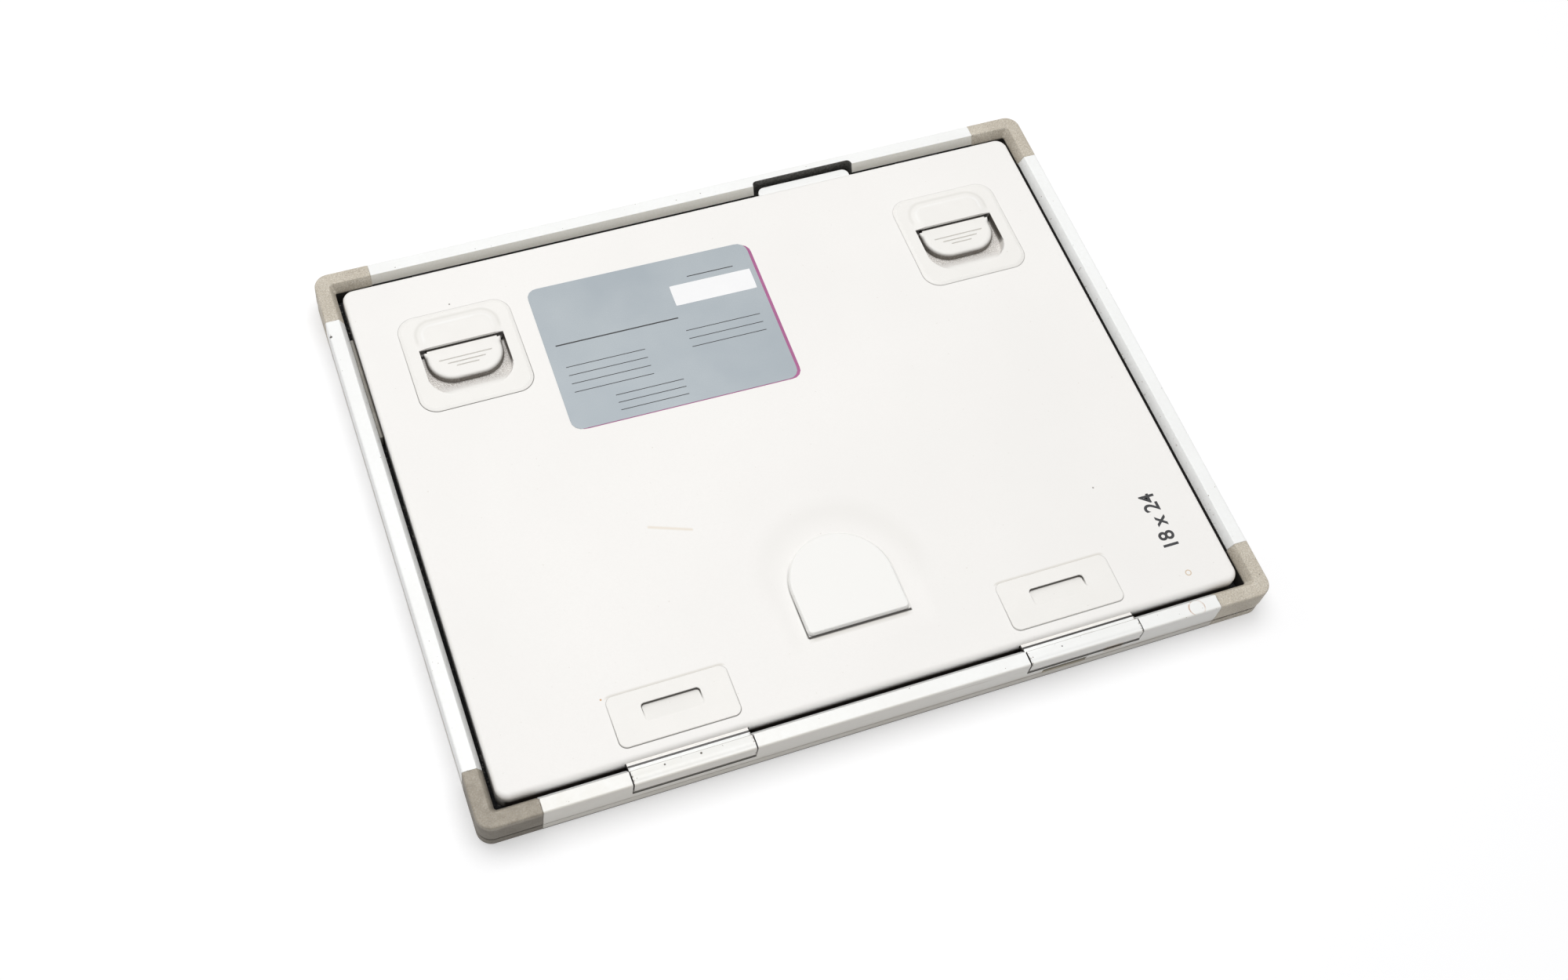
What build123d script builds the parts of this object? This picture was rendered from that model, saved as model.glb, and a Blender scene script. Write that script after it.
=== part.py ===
"""X-ray film cassette for 18 x 24 cm film: a frame of rails and corner pieces, a hinged lid and two latches.

Millimetres. X runs along the long side, Y from the hinge rail (-Y) to the latch rail (+Y), Z up. The origin
is under the middle of the cassette, on the plane it lies on. Each function below makes one piece and returns
it where it sits with the lid closed.
"""
import os

from build123d import *

# Film and frame
FILM_LENGTH = 240.0
FILM_WIDTH = 180.0
FILM_MARGIN = 13.5  # from the film's edge to the outside of the frame
HEIGHT = 14.0
CORNER_RADIUS = 5.0
CORNER_ARM = 19.5  # length of a corner piece along each side
OVERRUN = 1.0  # how far a cutting block runs past what it cuts

# Section of the frame, measured inwards from its outer face and up from the floor
RAIL_TOP = 4.7  # outer face to the inner edge of the flat top
BEVEL_RUN = 1.7
BEVEL_DROP = 3.2
SHOULDER_RADIUS = 0.7
LIP_INSET = 0.2
TAPER_TOP = 6.2  # the side is upright above this height
RAIL_GROOVE = (3.6, 3.9, 0.2)  # bottom, top and depth of the parting groove on a rail
CORNER_GROOVE = (3.5, 4.0, 0.6)  # the same on a corner piece
LIP_WALL = 2.2
REBATE_HEIGHT = 2.0
FLANGE_THICKNESS = 1.4
FILM_CLEARANCE = 0.5
INNER_CORNER_RADIUS = 0.9
BEVEL_CORNER_RADIUS = 1.6

# Chambers of the hollow rails, and the tongues of the corner pieces in them
CHAMBER_NEAR = 1.8
CHAMBER_FAR = 5.4
CHAMBER_LOW = 4.0
CHAMBER_HIGH = 6.1
UPPER_CHAMBER_NEAR = 1.5
UPPER_CHAMBER_FAR = 4.9
UPPER_CHAMBER_LOW = 7.3
UPPER_CHAMBER_HIGH = 12.0
CHAMBER_END_WALL = 1.0  # between a chamber and what is cut into its rail
TONGUE_LENGTH = 15.0
TONGUE_CLEARANCE = 0.1

# Front panel, screens, light seal
PANEL_RECESS = 0.4
PANEL_CLEARANCE = 0.1
SCREEN_THICKNESS = 0.5
FILM_GAP = 0.2
BLOCKER_LENGTH = 70.0
BLOCKER_WIDTH = 20.0
BLOCKER_CLEARANCE = 0.3
SEAL_WIDTH = 4.0
SEAL_HEIGHT = 1.8
SEAL_SETBACK = 0.3

# Lid
LID_CLEARANCE = 1.6  # from the rails' inner wall to the lid
LID_DROP = 1.2  # from the rails' top down to the lid's
LID_WALL = 1.2
LID_CORNER_RADIUS = 3.0
LID_EDGE_RADIUS = 1.1
LID_HINGE_RADIUS = 2.5
RIM_CLEARANCE = 0.3  # lid rim above the light seal
FOAM_THICKNESS = 2.8
FOIL_THICKNESS = 0.2
PLATE_THICKNESS = 1.0
PLATE_CLEARANCE = 0.2
POST_RADIUS = 3.0
POST_SETBACK = 13.0  # from the lid's ends to the side posts
POST_ROWS = (40.0, 105.0)  # from the lid's hinge edge to the side posts
REAR_POST_SETBACK = 15.0  # from the lid's latch edge to the rear posts
REAR_POST_SPACING = 40.0
PLATE_SCREW_RADIUS = 0.8
PLATE_SCREW_HEAD = 1.9
PLATE_SCREW_DEPTH = 2.6

# Hinges
HINGE_SETBACK = 67.6  # from the end of the cassette to the middle of a hinge
LEAF_LENGTH = 39.4
LEAF_END_GAP = 0.3
PIVOT_IN = 2.2  # pin axis, inwards from the outer face
PIVOT_DOWN = 2.8  # pin axis, down from the rails' top
PIN_RADIUS = 1.0
PIN_RUNNING_CLEARANCE = 0.05
PIN_SEAT_CLEARANCE = 0.02
PIN_GRIP = 4.0
BARREL_RADIUS = 3.0
BARREL_GAP = 0.45
SHOULDER_GAP = 0.12  # between the leaf's shoulder and the rail's outer wall as the lid opens
LEAF_TOP = 4.8  # outer face to the step behind the leaf's flat top
STRIP_DROP = 1.6  # from the rails' top down to the strip that crosses the gap
LEAF_THICKNESS = 1.4
LEAF_REACH = 24.0  # how far the leaf runs in under the lid, from the lid's edge
LEAF_SLOT_CLEARANCE = 0.3
HINGE_PAD_LENGTH = 39.3
HINGE_PAD_WIDTH = 17.3
HINGE_PAD_RADIUS = 2.5
HINGE_PAD_RISE = 0.5  # above the lid at the hinge
HINGE_PAD_LOW_RISE = 0.12  # above the lid at the other edge
HINGE_PAD_SETBACK = 3.9  # from the lid's hinge edge to the pad
PLUG_LENGTH = 33.5
PLUG_WIDTH = 11.5
PLUG_CLEARANCE = 0.2
GRIP_LENGTH = 19.2
GRIP_WIDTH = 5.6
GRIP_DEPTH = 1.3
GRIP_RADIUS = 1.2
HINGE_SCREW_SPACING = 24.0
HINGE_SCREW_RADIUS = 0.8
HINGE_SCREW_HEAD = 1.7
HINGE_SCREW_HEAD_HEIGHT = 1.1
HINGE_SCREW_BITE = 0.8  # how far the screw enters the pad

# Finger notch in the latch rail, and the lid's lifting tab in it
NOTCH_SETBACK = 87.1  # from the end of the cassette to the middle of the notch
NOTCH_WIDTH = 38.3
NOTCH_BACK = 2.9  # outer face to the notch's back edge
NOTCH_RADIUS = 1.6
NOTCH_DEPTH = 5.5
TAB_SIDE_GAP = 1.5
TAB_BACK_GAP = 1.6
TAB_THICKNESS = 1.6
TAB_RADIUS = 2.5
TAB_ROOT = 12.0  # how far the tab runs in under the lid
TAB_SLOT_CLEARANCE = 0.1

# Latches
LATCH_SETBACK = 42.0  # from the end of the cassette to the middle of a latch
BEZEL_SIZE_X = 39.3
BEZEL_SIZE_Y = 38.4
BEZEL_SETBACK = 44.5  # from the outside of the latch rail to the middle of a bezel
BEZEL_RADIUS = 6.0
BEZEL_RISE = 0.5
TUB_HALF_WIDTH = 16.2
TUB_FLOOR = 0.8
TUB_WALL = 1.5
TUB_REAR_OVERLAP = 1.0  # how far the hood stands over the tub's rear wall
TUB_CLEARANCE = 0.15
SCOOP_HALF_WIDTH = 14.7
SCOOP_LENGTH = 19.7
SCOOP_DEPTH = 3.5
SCOOP_RADIUS = 9.0
SCOOP_RAMP = 5.8
HOOD_FRONT = 5.4  # from the bezel's middle to the hood's open edge
HOOD_LENGTH = 11.6
HOOD_HALF_WIDTH = 14.9
HOOD_RADIUS = 6.5
HOOD_RISE = 0.7
HOOD_WALL = 0.6
THUMB_HALF_WIDTH = 13.4
THUMB_LENGTH = 12.5
THUMB_RADIUS = 9.0
THUMB_THICKNESS = 2.7
THUMB_DROP = 0.6  # thumb piece below the bezel's face
THUMB_SETBACK = 1.1  # from the hood's open edge to the shoulders of the thumb piece
THUMB_TONGUE_HALF_WIDTH = 12.2
THUMB_TONGUE_LENGTH = 4.6
THUMB_CORNER_RADIUS = 0.8
THUMB_LINES = ((4.3, 19.0), (6.0, 13.8), (7.5, 8.2))  # finger lines: distance from the shoulders, length
THUMB_LINE_WIDTH = 0.4
THUMB_LINE_DEPTH = 0.25
LATCH_TRAVEL = 5.0
BOLT_HALF_WIDTH = 6.0
BOLT_THICKNESS = 1.3
BOLT_PLATE_GAP = 0.3
BOLT_TIP_GAP = 1.7  # from the drawn-back bolt's tip to the latch rail
BOLT_SIDE_CLEARANCE = 0.4
BOLT_HEIGHT_CLEARANCE = 0.3
BOLT_TIP_RADIUS = 1.5
STEM_HALF_WIDTH = 4.0
STEM_LENGTH = 3.0
STEM_SETBACK = 2.0  # from the thumb piece's shoulders to the middle of the stem
STEM_CLEARANCE = 0.3
SPIGOT_RADIUS = 1.2
KEEPER_THICKNESS = 0.6
KEEPER_MARGIN = 2.0  # keeper plate around the slot
KEEPER_CLEARANCE = 0.05
GUIDE_LENGTH = 6.0
GUIDE_SETBACK = 4.0  # from the lid's rear wall to the guide
GUIDE_WALL = 2.8
GUIDE_BRIDGE = 0.9
GUIDE_CLEARANCE = 0.2

# Cap in the middle of the lid, the pressed ground round it, and the spring it holds
CAP_HALF_WIDTH = 17.5
CAP_LENGTH = 32.8
CAP_SETBACK = 21.9  # from the lid's hinge edge to the cap's straight edge
CAP_CORNER_RADIUS = 1.5
CAP_RISE = 1.0  # above the lid at the straight edge
CAP_LOW_RISE = 0.05  # above the lid at the arch
PRESSING_DEPTH = 0.5
PRESSING_MARGIN = 2.0
PRESSING_SLOPE = 5.0
CAP_STUD_RADIUS = 4.0
CAP_STUD_CLEARANCE = 0.1
SPRING_LENGTH = 120.0
SPRING_WIDTH = 20.0
SPRING_THICKNESS = 0.8
SPRING_TOP_GAP = 0.4

# Marker that shows the screen type, in the side of the hinge rail
MARKER_OFFSET = -6.2  # from the middle of the right hinge to the middle of the marker
MARKER_LENGTH = 15.4
MARKER_HEIGHT = 3.3
MARKER_LOW = 3.2
MARKER_DEPTH = 1.0
MARKER_RECESS = 0.15
MARKER_CLEARANCE = 0.1

# Heights and places that follow from the sizes above
HALF_X = FILM_LENGTH / 2 + FILM_MARGIN
HALF_Y = FILM_WIDTH / 2 + FILM_MARGIN
RAIL_WIDTH = RAIL_TOP + BEVEL_RUN
FLANGE_REACH = FILM_MARGIN - FILM_CLEARANCE
FLANGE_TOP = REBATE_HEIGHT + FLANGE_THICKNESS
BEVEL_LOW = HEIGHT - BEVEL_DROP
SEAL_TOP = FLANGE_TOP + SEAL_HEIGHT
LID_INSET = RAIL_WIDTH + LID_CLEARANCE
LID_X = HALF_X - LID_INSET
LID_Y = HALF_Y - LID_INSET
LID_TOP = HEIGHT - LID_DROP
LID_UNDER = LID_TOP - LID_WALL
RIM_LOW = SEAL_TOP + RIM_CLEARANCE
FRONT_SCREEN_TOP = REBATE_HEIGHT + SCREEN_THICKNESS
REAR_SCREEN_LOW = FRONT_SCREEN_TOP + FILM_GAP
FOAM_LOW = REAR_SCREEN_LOW + SCREEN_THICKNESS
FOIL_LOW = FOAM_LOW + FOAM_THICKNESS
PLATE_LOW = FOIL_LOW + FOIL_THICKNESS
PLATE_TOP = PLATE_LOW + PLATE_THICKNESS
HINGE_OFFSET = HALF_X - HINGE_SETBACK
PIVOT_Y = -HALF_Y + PIVOT_IN
PIVOT_Z = HEIGHT - PIVOT_DOWN
LEAF_LOW = LID_UNDER - LEAF_THICKNESS
SHOULDER_IN = PIVOT_IN - SHOULDER_RADIUS
SHOULDER_DOWN = PIVOT_DOWN - SHOULDER_RADIUS
SHOULDER_SWEEP = (SHOULDER_IN**2 + SHOULDER_DOWN**2) ** 0.5 + SHOULDER_RADIUS
POCKET_SILL = PIVOT_Z - SHOULDER_SWEEP - SHOULDER_GAP
MARKER_CENTRE = HINGE_OFFSET + MARKER_OFFSET
NOTCH_CENTRE = HALF_X - NOTCH_SETBACK
LATCH_OFFSET = HALF_X - LATCH_SETBACK
BEZEL_CENTRE_Y = HALF_Y - BEZEL_SETBACK
PAD_Y = -LID_Y + HINGE_PAD_SETBACK + HINGE_PAD_WIDTH / 2
BEZEL_TOP = LID_TOP + BEZEL_RISE
HOOD_TOP = BEZEL_TOP + HOOD_RISE
HOOD_Y = BEZEL_CENTRE_Y + HOOD_FRONT
SCOOP_LOW = BEZEL_TOP - SCOOP_DEPTH
TUB_LOW = SCOOP_LOW - TUB_FLOOR
TUB_REAR = HOOD_Y + HOOD_LENGTH + TUB_WALL - TUB_REAR_OVERLAP
TUB_FRONT = HOOD_Y - SCOOP_LENGTH - TUB_WALL
THUMB_TOP = BEZEL_TOP - THUMB_DROP
THUMB_LOW = THUMB_TOP - THUMB_THICKNESS
THUMB_REAR = HOOD_Y - THUMB_SETBACK
BOLT_LOW = PLATE_TOP + BOLT_PLATE_GAP
BOLT_HIGH = BOLT_LOW + BOLT_THICKNESS
BOLT_TIP = HALF_Y - RAIL_WIDTH - BOLT_TIP_GAP
CAP_FRONT = -LID_Y + CAP_SETBACK
CAP_ARCH = CAP_FRONT + CAP_LENGTH - CAP_HALF_WIDTH
SIDE_POSTS = [(side * (LID_X - POST_SETBACK), row - LID_Y) for row in POST_ROWS for side in (-1, 1)]
REAR_POSTS = [(side * REAR_POST_SPACING / 2, LID_Y - REAR_POST_SETBACK) for side in (-1, 1)]
PLATE_POSTS = SIDE_POSTS + REAR_POSTS

ON_BASE = (Align.CENTER, Align.CENTER, Align.MIN)


def plan(inset, radius):
    """Outline of the cassette moved in by an inset, with round corners."""
    return RectangleRounded(2 * (HALF_X - inset), 2 * (HALF_Y - inset), radius)


def slab(outline, low, high):
    """A flat outline made solid between two heights."""
    return Pos(0, 0, low) * extrude(outline, high - low)


def block(x_range, y_range, z_range):
    """A box between two limits on each axis."""
    spans = [high - low for low, high in (x_range, y_range, z_range)]
    middles = [(high + low) / 2 for low, high in (x_range, y_range, z_range)]
    return Pos(*middles) * Box(*spans)


def prism_x(outline, x_middle, length):
    """An outline in the YZ plane made solid along X, on both sides of a middle."""
    return Pos(x_middle, 0, 0) * extrude(Plane.YZ * outline, length / 2, both=True)


def rod_x(radius, x_middle, length, y, z):
    """A round bar along X."""
    return Pos(x_middle, y, z) * Rot(0, 90, 0) * Cylinder(radius, length)


def top_edges(solid):
    """The edges that bound the solid's highest face."""
    return solid.faces().sort_by(Axis.Z)[-1].outer_wire().edges()


def frame_ring(groove):
    """The whole frame in one piece, with a parting groove (bottom, top, depth) round its side."""
    groove_low, groove_high, groove_depth = groove
    lip = slab(plan(LIP_INSET, CORNER_RADIUS - LIP_INSET), 0, groove_low)
    neck_inset = LIP_INSET + groove_depth
    neck = slab(plan(neck_inset, CORNER_RADIUS - neck_inset), groove_low, groove_high)
    taper_foot = Pos(0, 0, groove_high) * plan(LIP_INSET, CORNER_RADIUS - LIP_INSET)
    taper_head = Pos(0, 0, TAPER_TOP) * plan(0, CORNER_RADIUS)
    taper = loft([taper_foot, taper_head])
    side = slab(plan(0, CORNER_RADIUS), TAPER_TOP, HEIGHT)
    side = fillet(top_edges(side), SHOULDER_RADIUS)
    outside = lip + neck + taper + side

    rebate = slab(plan(LIP_WALL, CORNER_RADIUS - LIP_WALL), 0, REBATE_HEIGHT)
    window = slab(plan(FLANGE_REACH, INNER_CORNER_RADIUS), REBATE_HEIGHT, FLANGE_TOP)
    well = slab(plan(RAIL_WIDTH, INNER_CORNER_RADIUS), FLANGE_TOP, BEVEL_LOW)
    bevel_foot = Pos(0, 0, BEVEL_LOW) * plan(RAIL_WIDTH, INNER_CORNER_RADIUS)
    bevel_head = Pos(0, 0, HEIGHT) * plan(RAIL_TOP, BEVEL_CORNER_RADIUS)
    bevel = loft([bevel_foot, bevel_head])
    return outside - rebate - window - well - bevel


def chamber(side_x, side_y, start, end, clearance=0.0):
    """Both chambers of a rail between two places along it, less a clearance round their section."""
    lower = (CHAMBER_NEAR, CHAMBER_FAR, CHAMBER_LOW, CHAMBER_HIGH)
    upper = (UPPER_CHAMBER_NEAR, UPPER_CHAMBER_FAR, UPPER_CHAMBER_LOW, UPPER_CHAMBER_HIGH)
    both = []
    for near, far, low, high in (lower, upper):
        half = HALF_X if side_x else HALF_Y
        side = side_x or side_y
        across = sorted((side * (half - near - clearance), side * (half - far + clearance)))
        heights = (low + clearance, high - clearance)
        if side_x:
            both.append(block(across, (start, end), heights))
        else:
            both.append(block((start, end), across, heights))
    return both[0] + both[1]


def rail_block(side, reach):
    """Block round the hinge rail or the latch rail, from one corner piece to the other."""
    across = sorted((side * (HALF_Y - FLANGE_REACH - OVERRUN), side * (HALF_Y + OVERRUN)))
    return block((-reach, reach), across, (-OVERRUN, HEIGHT + OVERRUN))


def side_rail(ring, side):
    """Left or right rail, between two corner pieces."""
    reach = HALF_Y - CORNER_ARM
    across = sorted((side * (HALF_X - FLANGE_REACH - OVERRUN), side * (HALF_X + OVERRUN)))
    rail = ring & block(across, (-reach, reach), (-OVERRUN, HEIGHT + OVERRUN))
    return rail - chamber(side, 0, -reach, reach)


def hinge_spans(margin):
    """The lengths of the hinge rail that both hinges take, with a margin at their ends."""
    half = LEAF_LENGTH / 2 + LEAF_END_GAP + margin
    return [(side * HINGE_OFFSET - half, side * HINGE_OFFSET + half) for side in (-1, 1)]


def free_spans(reach, taken):
    """What is left of a rail between its ends, without the taken lengths."""
    starts = [-reach] + [end for _, end in taken]
    ends = [start for start, _ in taken] + [reach]
    return list(zip(starts, ends))


def front_rail(ring):
    """Hinge rail: solid where the pins are held, cut open over each hinge, with a pocket for the marker."""
    reach = HALF_X - CORNER_ARM
    rail = ring & rail_block(-1, reach)
    for start, end in free_spans(reach, hinge_spans(PIN_GRIP + CHAMBER_END_WALL)):
        rail -= chamber(0, -1, start, end)
    for side in (-1, 1):
        middle = side * HINGE_OFFSET
        length = LEAF_LENGTH + 2 * LEAF_END_GAP
        rail -= rod_x(BARREL_RADIUS + BARREL_GAP, middle, length, PIVOT_Y, PIVOT_Z)
        x_range = (middle - length / 2, middle + length / 2)
        over = (LEAF_LOW - LEAF_SLOT_CLEARANCE, HEIGHT + OVERRUN)
        rail -= block(x_range, (-HALF_Y - OVERRUN, -HALF_Y + RAIL_WIDTH + OVERRUN), over)
        rail -= block(x_range, (-HALF_Y - OVERRUN, PIVOT_Y), (POCKET_SILL, HEIGHT + OVERRUN))
        rail -= rod_x(PIN_RADIUS + PIN_SEAT_CLEARANCE, middle, length + 2 * PIN_GRIP, PIVOT_Y, PIVOT_Z)
    return rail - marker_body(0)


def rear_rail(ring):
    """Latch rail: with the finger notch, and a slot and a seat for a keeper at each latch."""
    reach = HALF_X - CORNER_ARM
    rail = ring & rail_block(1, reach)
    notch_half = NOTCH_WIDTH / 2
    margin = notch_half + CHAMBER_END_WALL
    for start, end in free_spans(reach, [(NOTCH_CENTRE - margin, NOTCH_CENTRE + margin)]):
        rail -= chamber(0, 1, start, end)
    notch_back = HALF_Y - NOTCH_BACK
    notch = block(
        (NOTCH_CENTRE - notch_half, NOTCH_CENTRE + notch_half),
        (HALF_Y - RAIL_WIDTH - OVERRUN, notch_back),
        (HEIGHT - NOTCH_DEPTH, HEIGHT + OVERRUN),
    )
    back_corners = notch.edges().filter_by(Axis.Z).sort_by(Axis.Y)[-2:]
    rail -= fillet(back_corners, NOTCH_RADIUS)
    for side in (-1, 1):
        rail -= keeper_plate(side, KEEPER_CLEARANCE)
        rail -= bolt_slot(side, HALF_Y - RAIL_WIDTH - OVERRUN, HALF_Y - UPPER_CHAMBER_FAR)
    return rail


def corner_piece(ring, side_x, side_y):
    """One corner of the frame, with two tongues into each of the rails it joins."""
    seam_x = HALF_X - CORNER_ARM
    seam_y = HALF_Y - CORNER_ARM
    x_range = sorted((side_x * seam_x, side_x * (HALF_X + OVERRUN)))
    y_range = sorted((side_y * seam_y, side_y * (HALF_Y + OVERRUN)))
    piece = ring & block(x_range, y_range, (-OVERRUN, HEIGHT + OVERRUN))
    along_x = sorted((side_x * (seam_x - TONGUE_LENGTH), side_x * seam_x))
    along_y = sorted((side_y * (seam_y - TONGUE_LENGTH), side_y * seam_y))
    piece += chamber(0, side_y, *along_x, clearance=TONGUE_CLEARANCE)
    piece += chamber(side_x, 0, *along_y, clearance=TONGUE_CLEARANCE)
    return piece


def marker_body(clearance):
    """Space of the screen marker in the side of the hinge rail, less a clearance."""
    half = MARKER_LENGTH / 2 - clearance
    return block(
        (MARKER_CENTRE - half, MARKER_CENTRE + half),
        (-HALF_Y - OVERRUN, -HALF_Y + LIP_INSET + MARKER_RECESS + MARKER_DEPTH),
        (MARKER_LOW + clearance, MARKER_LOW + MARKER_HEIGHT - clearance),
    )


def screen_marker():
    """Marker that tells which screens are inside, set a little below the rail's side."""
    face = -HALF_Y + LIP_INSET + MARKER_RECESS
    return marker_body(MARKER_CLEARANCE) & block((-HALF_X, HALF_X), (face, 0), (0, HEIGHT))


def bolt_slot(side, y_low, y_high):
    """Passage of a latch bolt through a wall."""
    half = BOLT_HALF_WIDTH + BOLT_SIDE_CLEARANCE
    middle = side * LATCH_OFFSET
    heights = (BOLT_LOW - BOLT_HEIGHT_CLEARANCE, BOLT_HIGH + BOLT_HEIGHT_CLEARANCE)
    return block((middle - half, middle + half), (y_low, y_high), heights)


def keeper_plate(side, clearance=0.0):
    """Outline of a keeper, let into the inner wall of the latch rail."""
    half = BOLT_HALF_WIDTH + BOLT_SIDE_CLEARANCE + KEEPER_MARGIN + clearance
    middle = side * LATCH_OFFSET
    wall = HALF_Y - RAIL_WIDTH
    low = BOLT_LOW - BOLT_HEIGHT_CLEARANCE - KEEPER_MARGIN / 2 - clearance
    high = BOLT_HIGH + BOLT_HEIGHT_CLEARANCE + KEEPER_MARGIN / 2 + clearance
    return block((middle - half, middle + half), (wall, wall + KEEPER_THICKNESS + clearance), (low, high))


def keeper(side):
    """Steel keeper that the bolt enters, let into the latch rail."""
    wall = HALF_Y - RAIL_WIDTH
    return keeper_plate(side) - bolt_slot(side, wall - OVERRUN, wall + KEEPER_THICKNESS + OVERRUN)


def front_panel():
    """Tube-side panel, seated in the rebate under the frame."""
    inset = LIP_WALL + PANEL_CLEARANCE
    return slab(plan(inset, CORNER_RADIUS - inset), PANEL_RECESS, REBATE_HEIGHT)


def blocker_range():
    """Corner of the film that the identification blocker covers, as limits in X and Y."""
    x_range = (FILM_LENGTH / 2 - BLOCKER_LENGTH, FILM_LENGTH / 2)
    y_range = (FILM_WIDTH / 2 - BLOCKER_WIDTH, FILM_WIDTH / 2)
    return x_range, y_range


def film_sheet(low, high):
    """A sheet of the film's size between two heights."""
    return slab(Rectangle(FILM_LENGTH, FILM_WIDTH), low, high)


def front_screen():
    """Intensifying screen on the front panel, cut away for the blocker."""
    (x_low, x_high), (y_low, y_high) = blocker_range()
    cut = block((x_low, x_high + OVERRUN), (y_low, y_high + OVERRUN), (0, HEIGHT))
    return film_sheet(REBATE_HEIGHT, FRONT_SCREEN_TOP) - cut


def id_blocker():
    """Lead strip that keeps a corner of the film free for the patient's name."""
    (x_low, x_high), (y_low, y_high) = blocker_range()
    clear = BLOCKER_CLEARANCE
    return block((x_low + clear, x_high), (y_low + clear, y_high), (REBATE_HEIGHT, FRONT_SCREEN_TOP))


def light_seal(side_x, side_y):
    """Felt strip on the frame's ledge, under the rim of the lid. Long strips run between short ones."""
    outer = RAIL_WIDTH + SEAL_SETBACK
    inner = outer + SEAL_WIDTH
    heights = (FLANGE_TOP, SEAL_TOP)
    if side_x:
        across = sorted((side_x * (HALF_X - outer), side_x * (HALF_X - inner)))
        return block(across, (-HALF_Y + outer, HALF_Y - outer), heights)
    across = sorted((side_y * (HALF_Y - outer), side_y * (HALF_Y - inner)))
    return block((-HALF_X + inner, HALF_X - inner), across, heights)


def hinge_pin(side):
    """Steel pin, held in the hinge rail at both ends of its hinge."""
    length = LEAF_LENGTH + 2 * LEAF_END_GAP + 2 * PIN_GRIP
    return rod_x(PIN_RADIUS, side * HINGE_OFFSET, length, PIVOT_Y, PIVOT_Z)


def hinge_leaf(side):
    """Hinge leaf: a barrel shaped like the rail, and an arm that runs across the gap and under the lid."""
    outer = -HALF_Y
    strip_end = -LID_Y - LEAF_SLOT_CLEARANCE
    arm_end = -LID_Y + LEAF_REACH
    with BuildSketch() as profile:
        with BuildLine():
            Line((outer, PIVOT_Z), (outer, HEIGHT - SHOULDER_RADIUS))
            RadiusArc(
                (outer, HEIGHT - SHOULDER_RADIUS), (outer + SHOULDER_RADIUS, HEIGHT), SHOULDER_RADIUS
            )
            Line((outer + SHOULDER_RADIUS, HEIGHT), (outer + LEAF_TOP, HEIGHT))
            Line((outer + LEAF_TOP, HEIGHT), (outer + LEAF_TOP, HEIGHT - STRIP_DROP))
            Line((outer + LEAF_TOP, HEIGHT - STRIP_DROP), (strip_end, HEIGHT - STRIP_DROP))
            Line((strip_end, HEIGHT - STRIP_DROP), (strip_end, LID_UNDER))
            Line((strip_end, LID_UNDER), (arm_end, LID_UNDER))
            Line((arm_end, LID_UNDER), (arm_end, LEAF_LOW))
            Line((arm_end, LEAF_LOW), (PIVOT_Y, LEAF_LOW))
            Line((PIVOT_Y, LEAF_LOW), (outer, PIVOT_Z))
        make_face()
        with Locations((PIVOT_Y, PIVOT_Z)):
            Circle(BARREL_RADIUS)
        with Locations((outer - BARREL_RADIUS, PIVOT_Z)):
            Rectangle(2 * BARREL_RADIUS, 4 * BARREL_RADIUS, mode=Mode.SUBTRACT)
        with Locations((PIVOT_Y, PIVOT_Z)):
            Circle(PIN_RADIUS + PIN_RUNNING_CLEARANCE, mode=Mode.SUBTRACT)
    leaf = prism_x(profile.sketch, side * HINGE_OFFSET, LEAF_LENGTH)
    for x in hinge_screw_places(side):
        leaf -= Pos(x, PAD_Y, LEAF_LOW) * Cylinder(HINGE_SCREW_RADIUS, 4 * LEAF_THICKNESS)
    return leaf


def hinge_screw_places(side):
    """Where the two screws of a hinge are along X."""
    return [side * HINGE_OFFSET + step * HINGE_SCREW_SPACING / 2 for step in (-1, 1)]


def hinge_screw(side, place):
    """Screw from below, through the leaf into the pad."""
    x = hinge_screw_places(side)[place]
    length = LEAF_THICKNESS + HINGE_SCREW_BITE
    shank = Pos(x, PAD_Y, LEAF_LOW) * Cylinder(HINGE_SCREW_RADIUS, length, align=ON_BASE)
    head_low = LEAF_LOW - HINGE_SCREW_HEAD_HEIGHT
    head = Pos(x, PAD_Y, head_low) * Cylinder(HINGE_SCREW_HEAD, HINGE_SCREW_HEAD_HEIGHT, align=ON_BASE)
    return shank + head


def hinge_plug(side, clearance=0.0):
    """The part of a hinge pad that goes down through the lid."""
    outline = Rectangle(PLUG_LENGTH + 2 * clearance, PLUG_WIDTH + 2 * clearance)
    return slab(Pos(side * HINGE_OFFSET, PAD_Y) * outline, LID_UNDER, LID_TOP)


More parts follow.
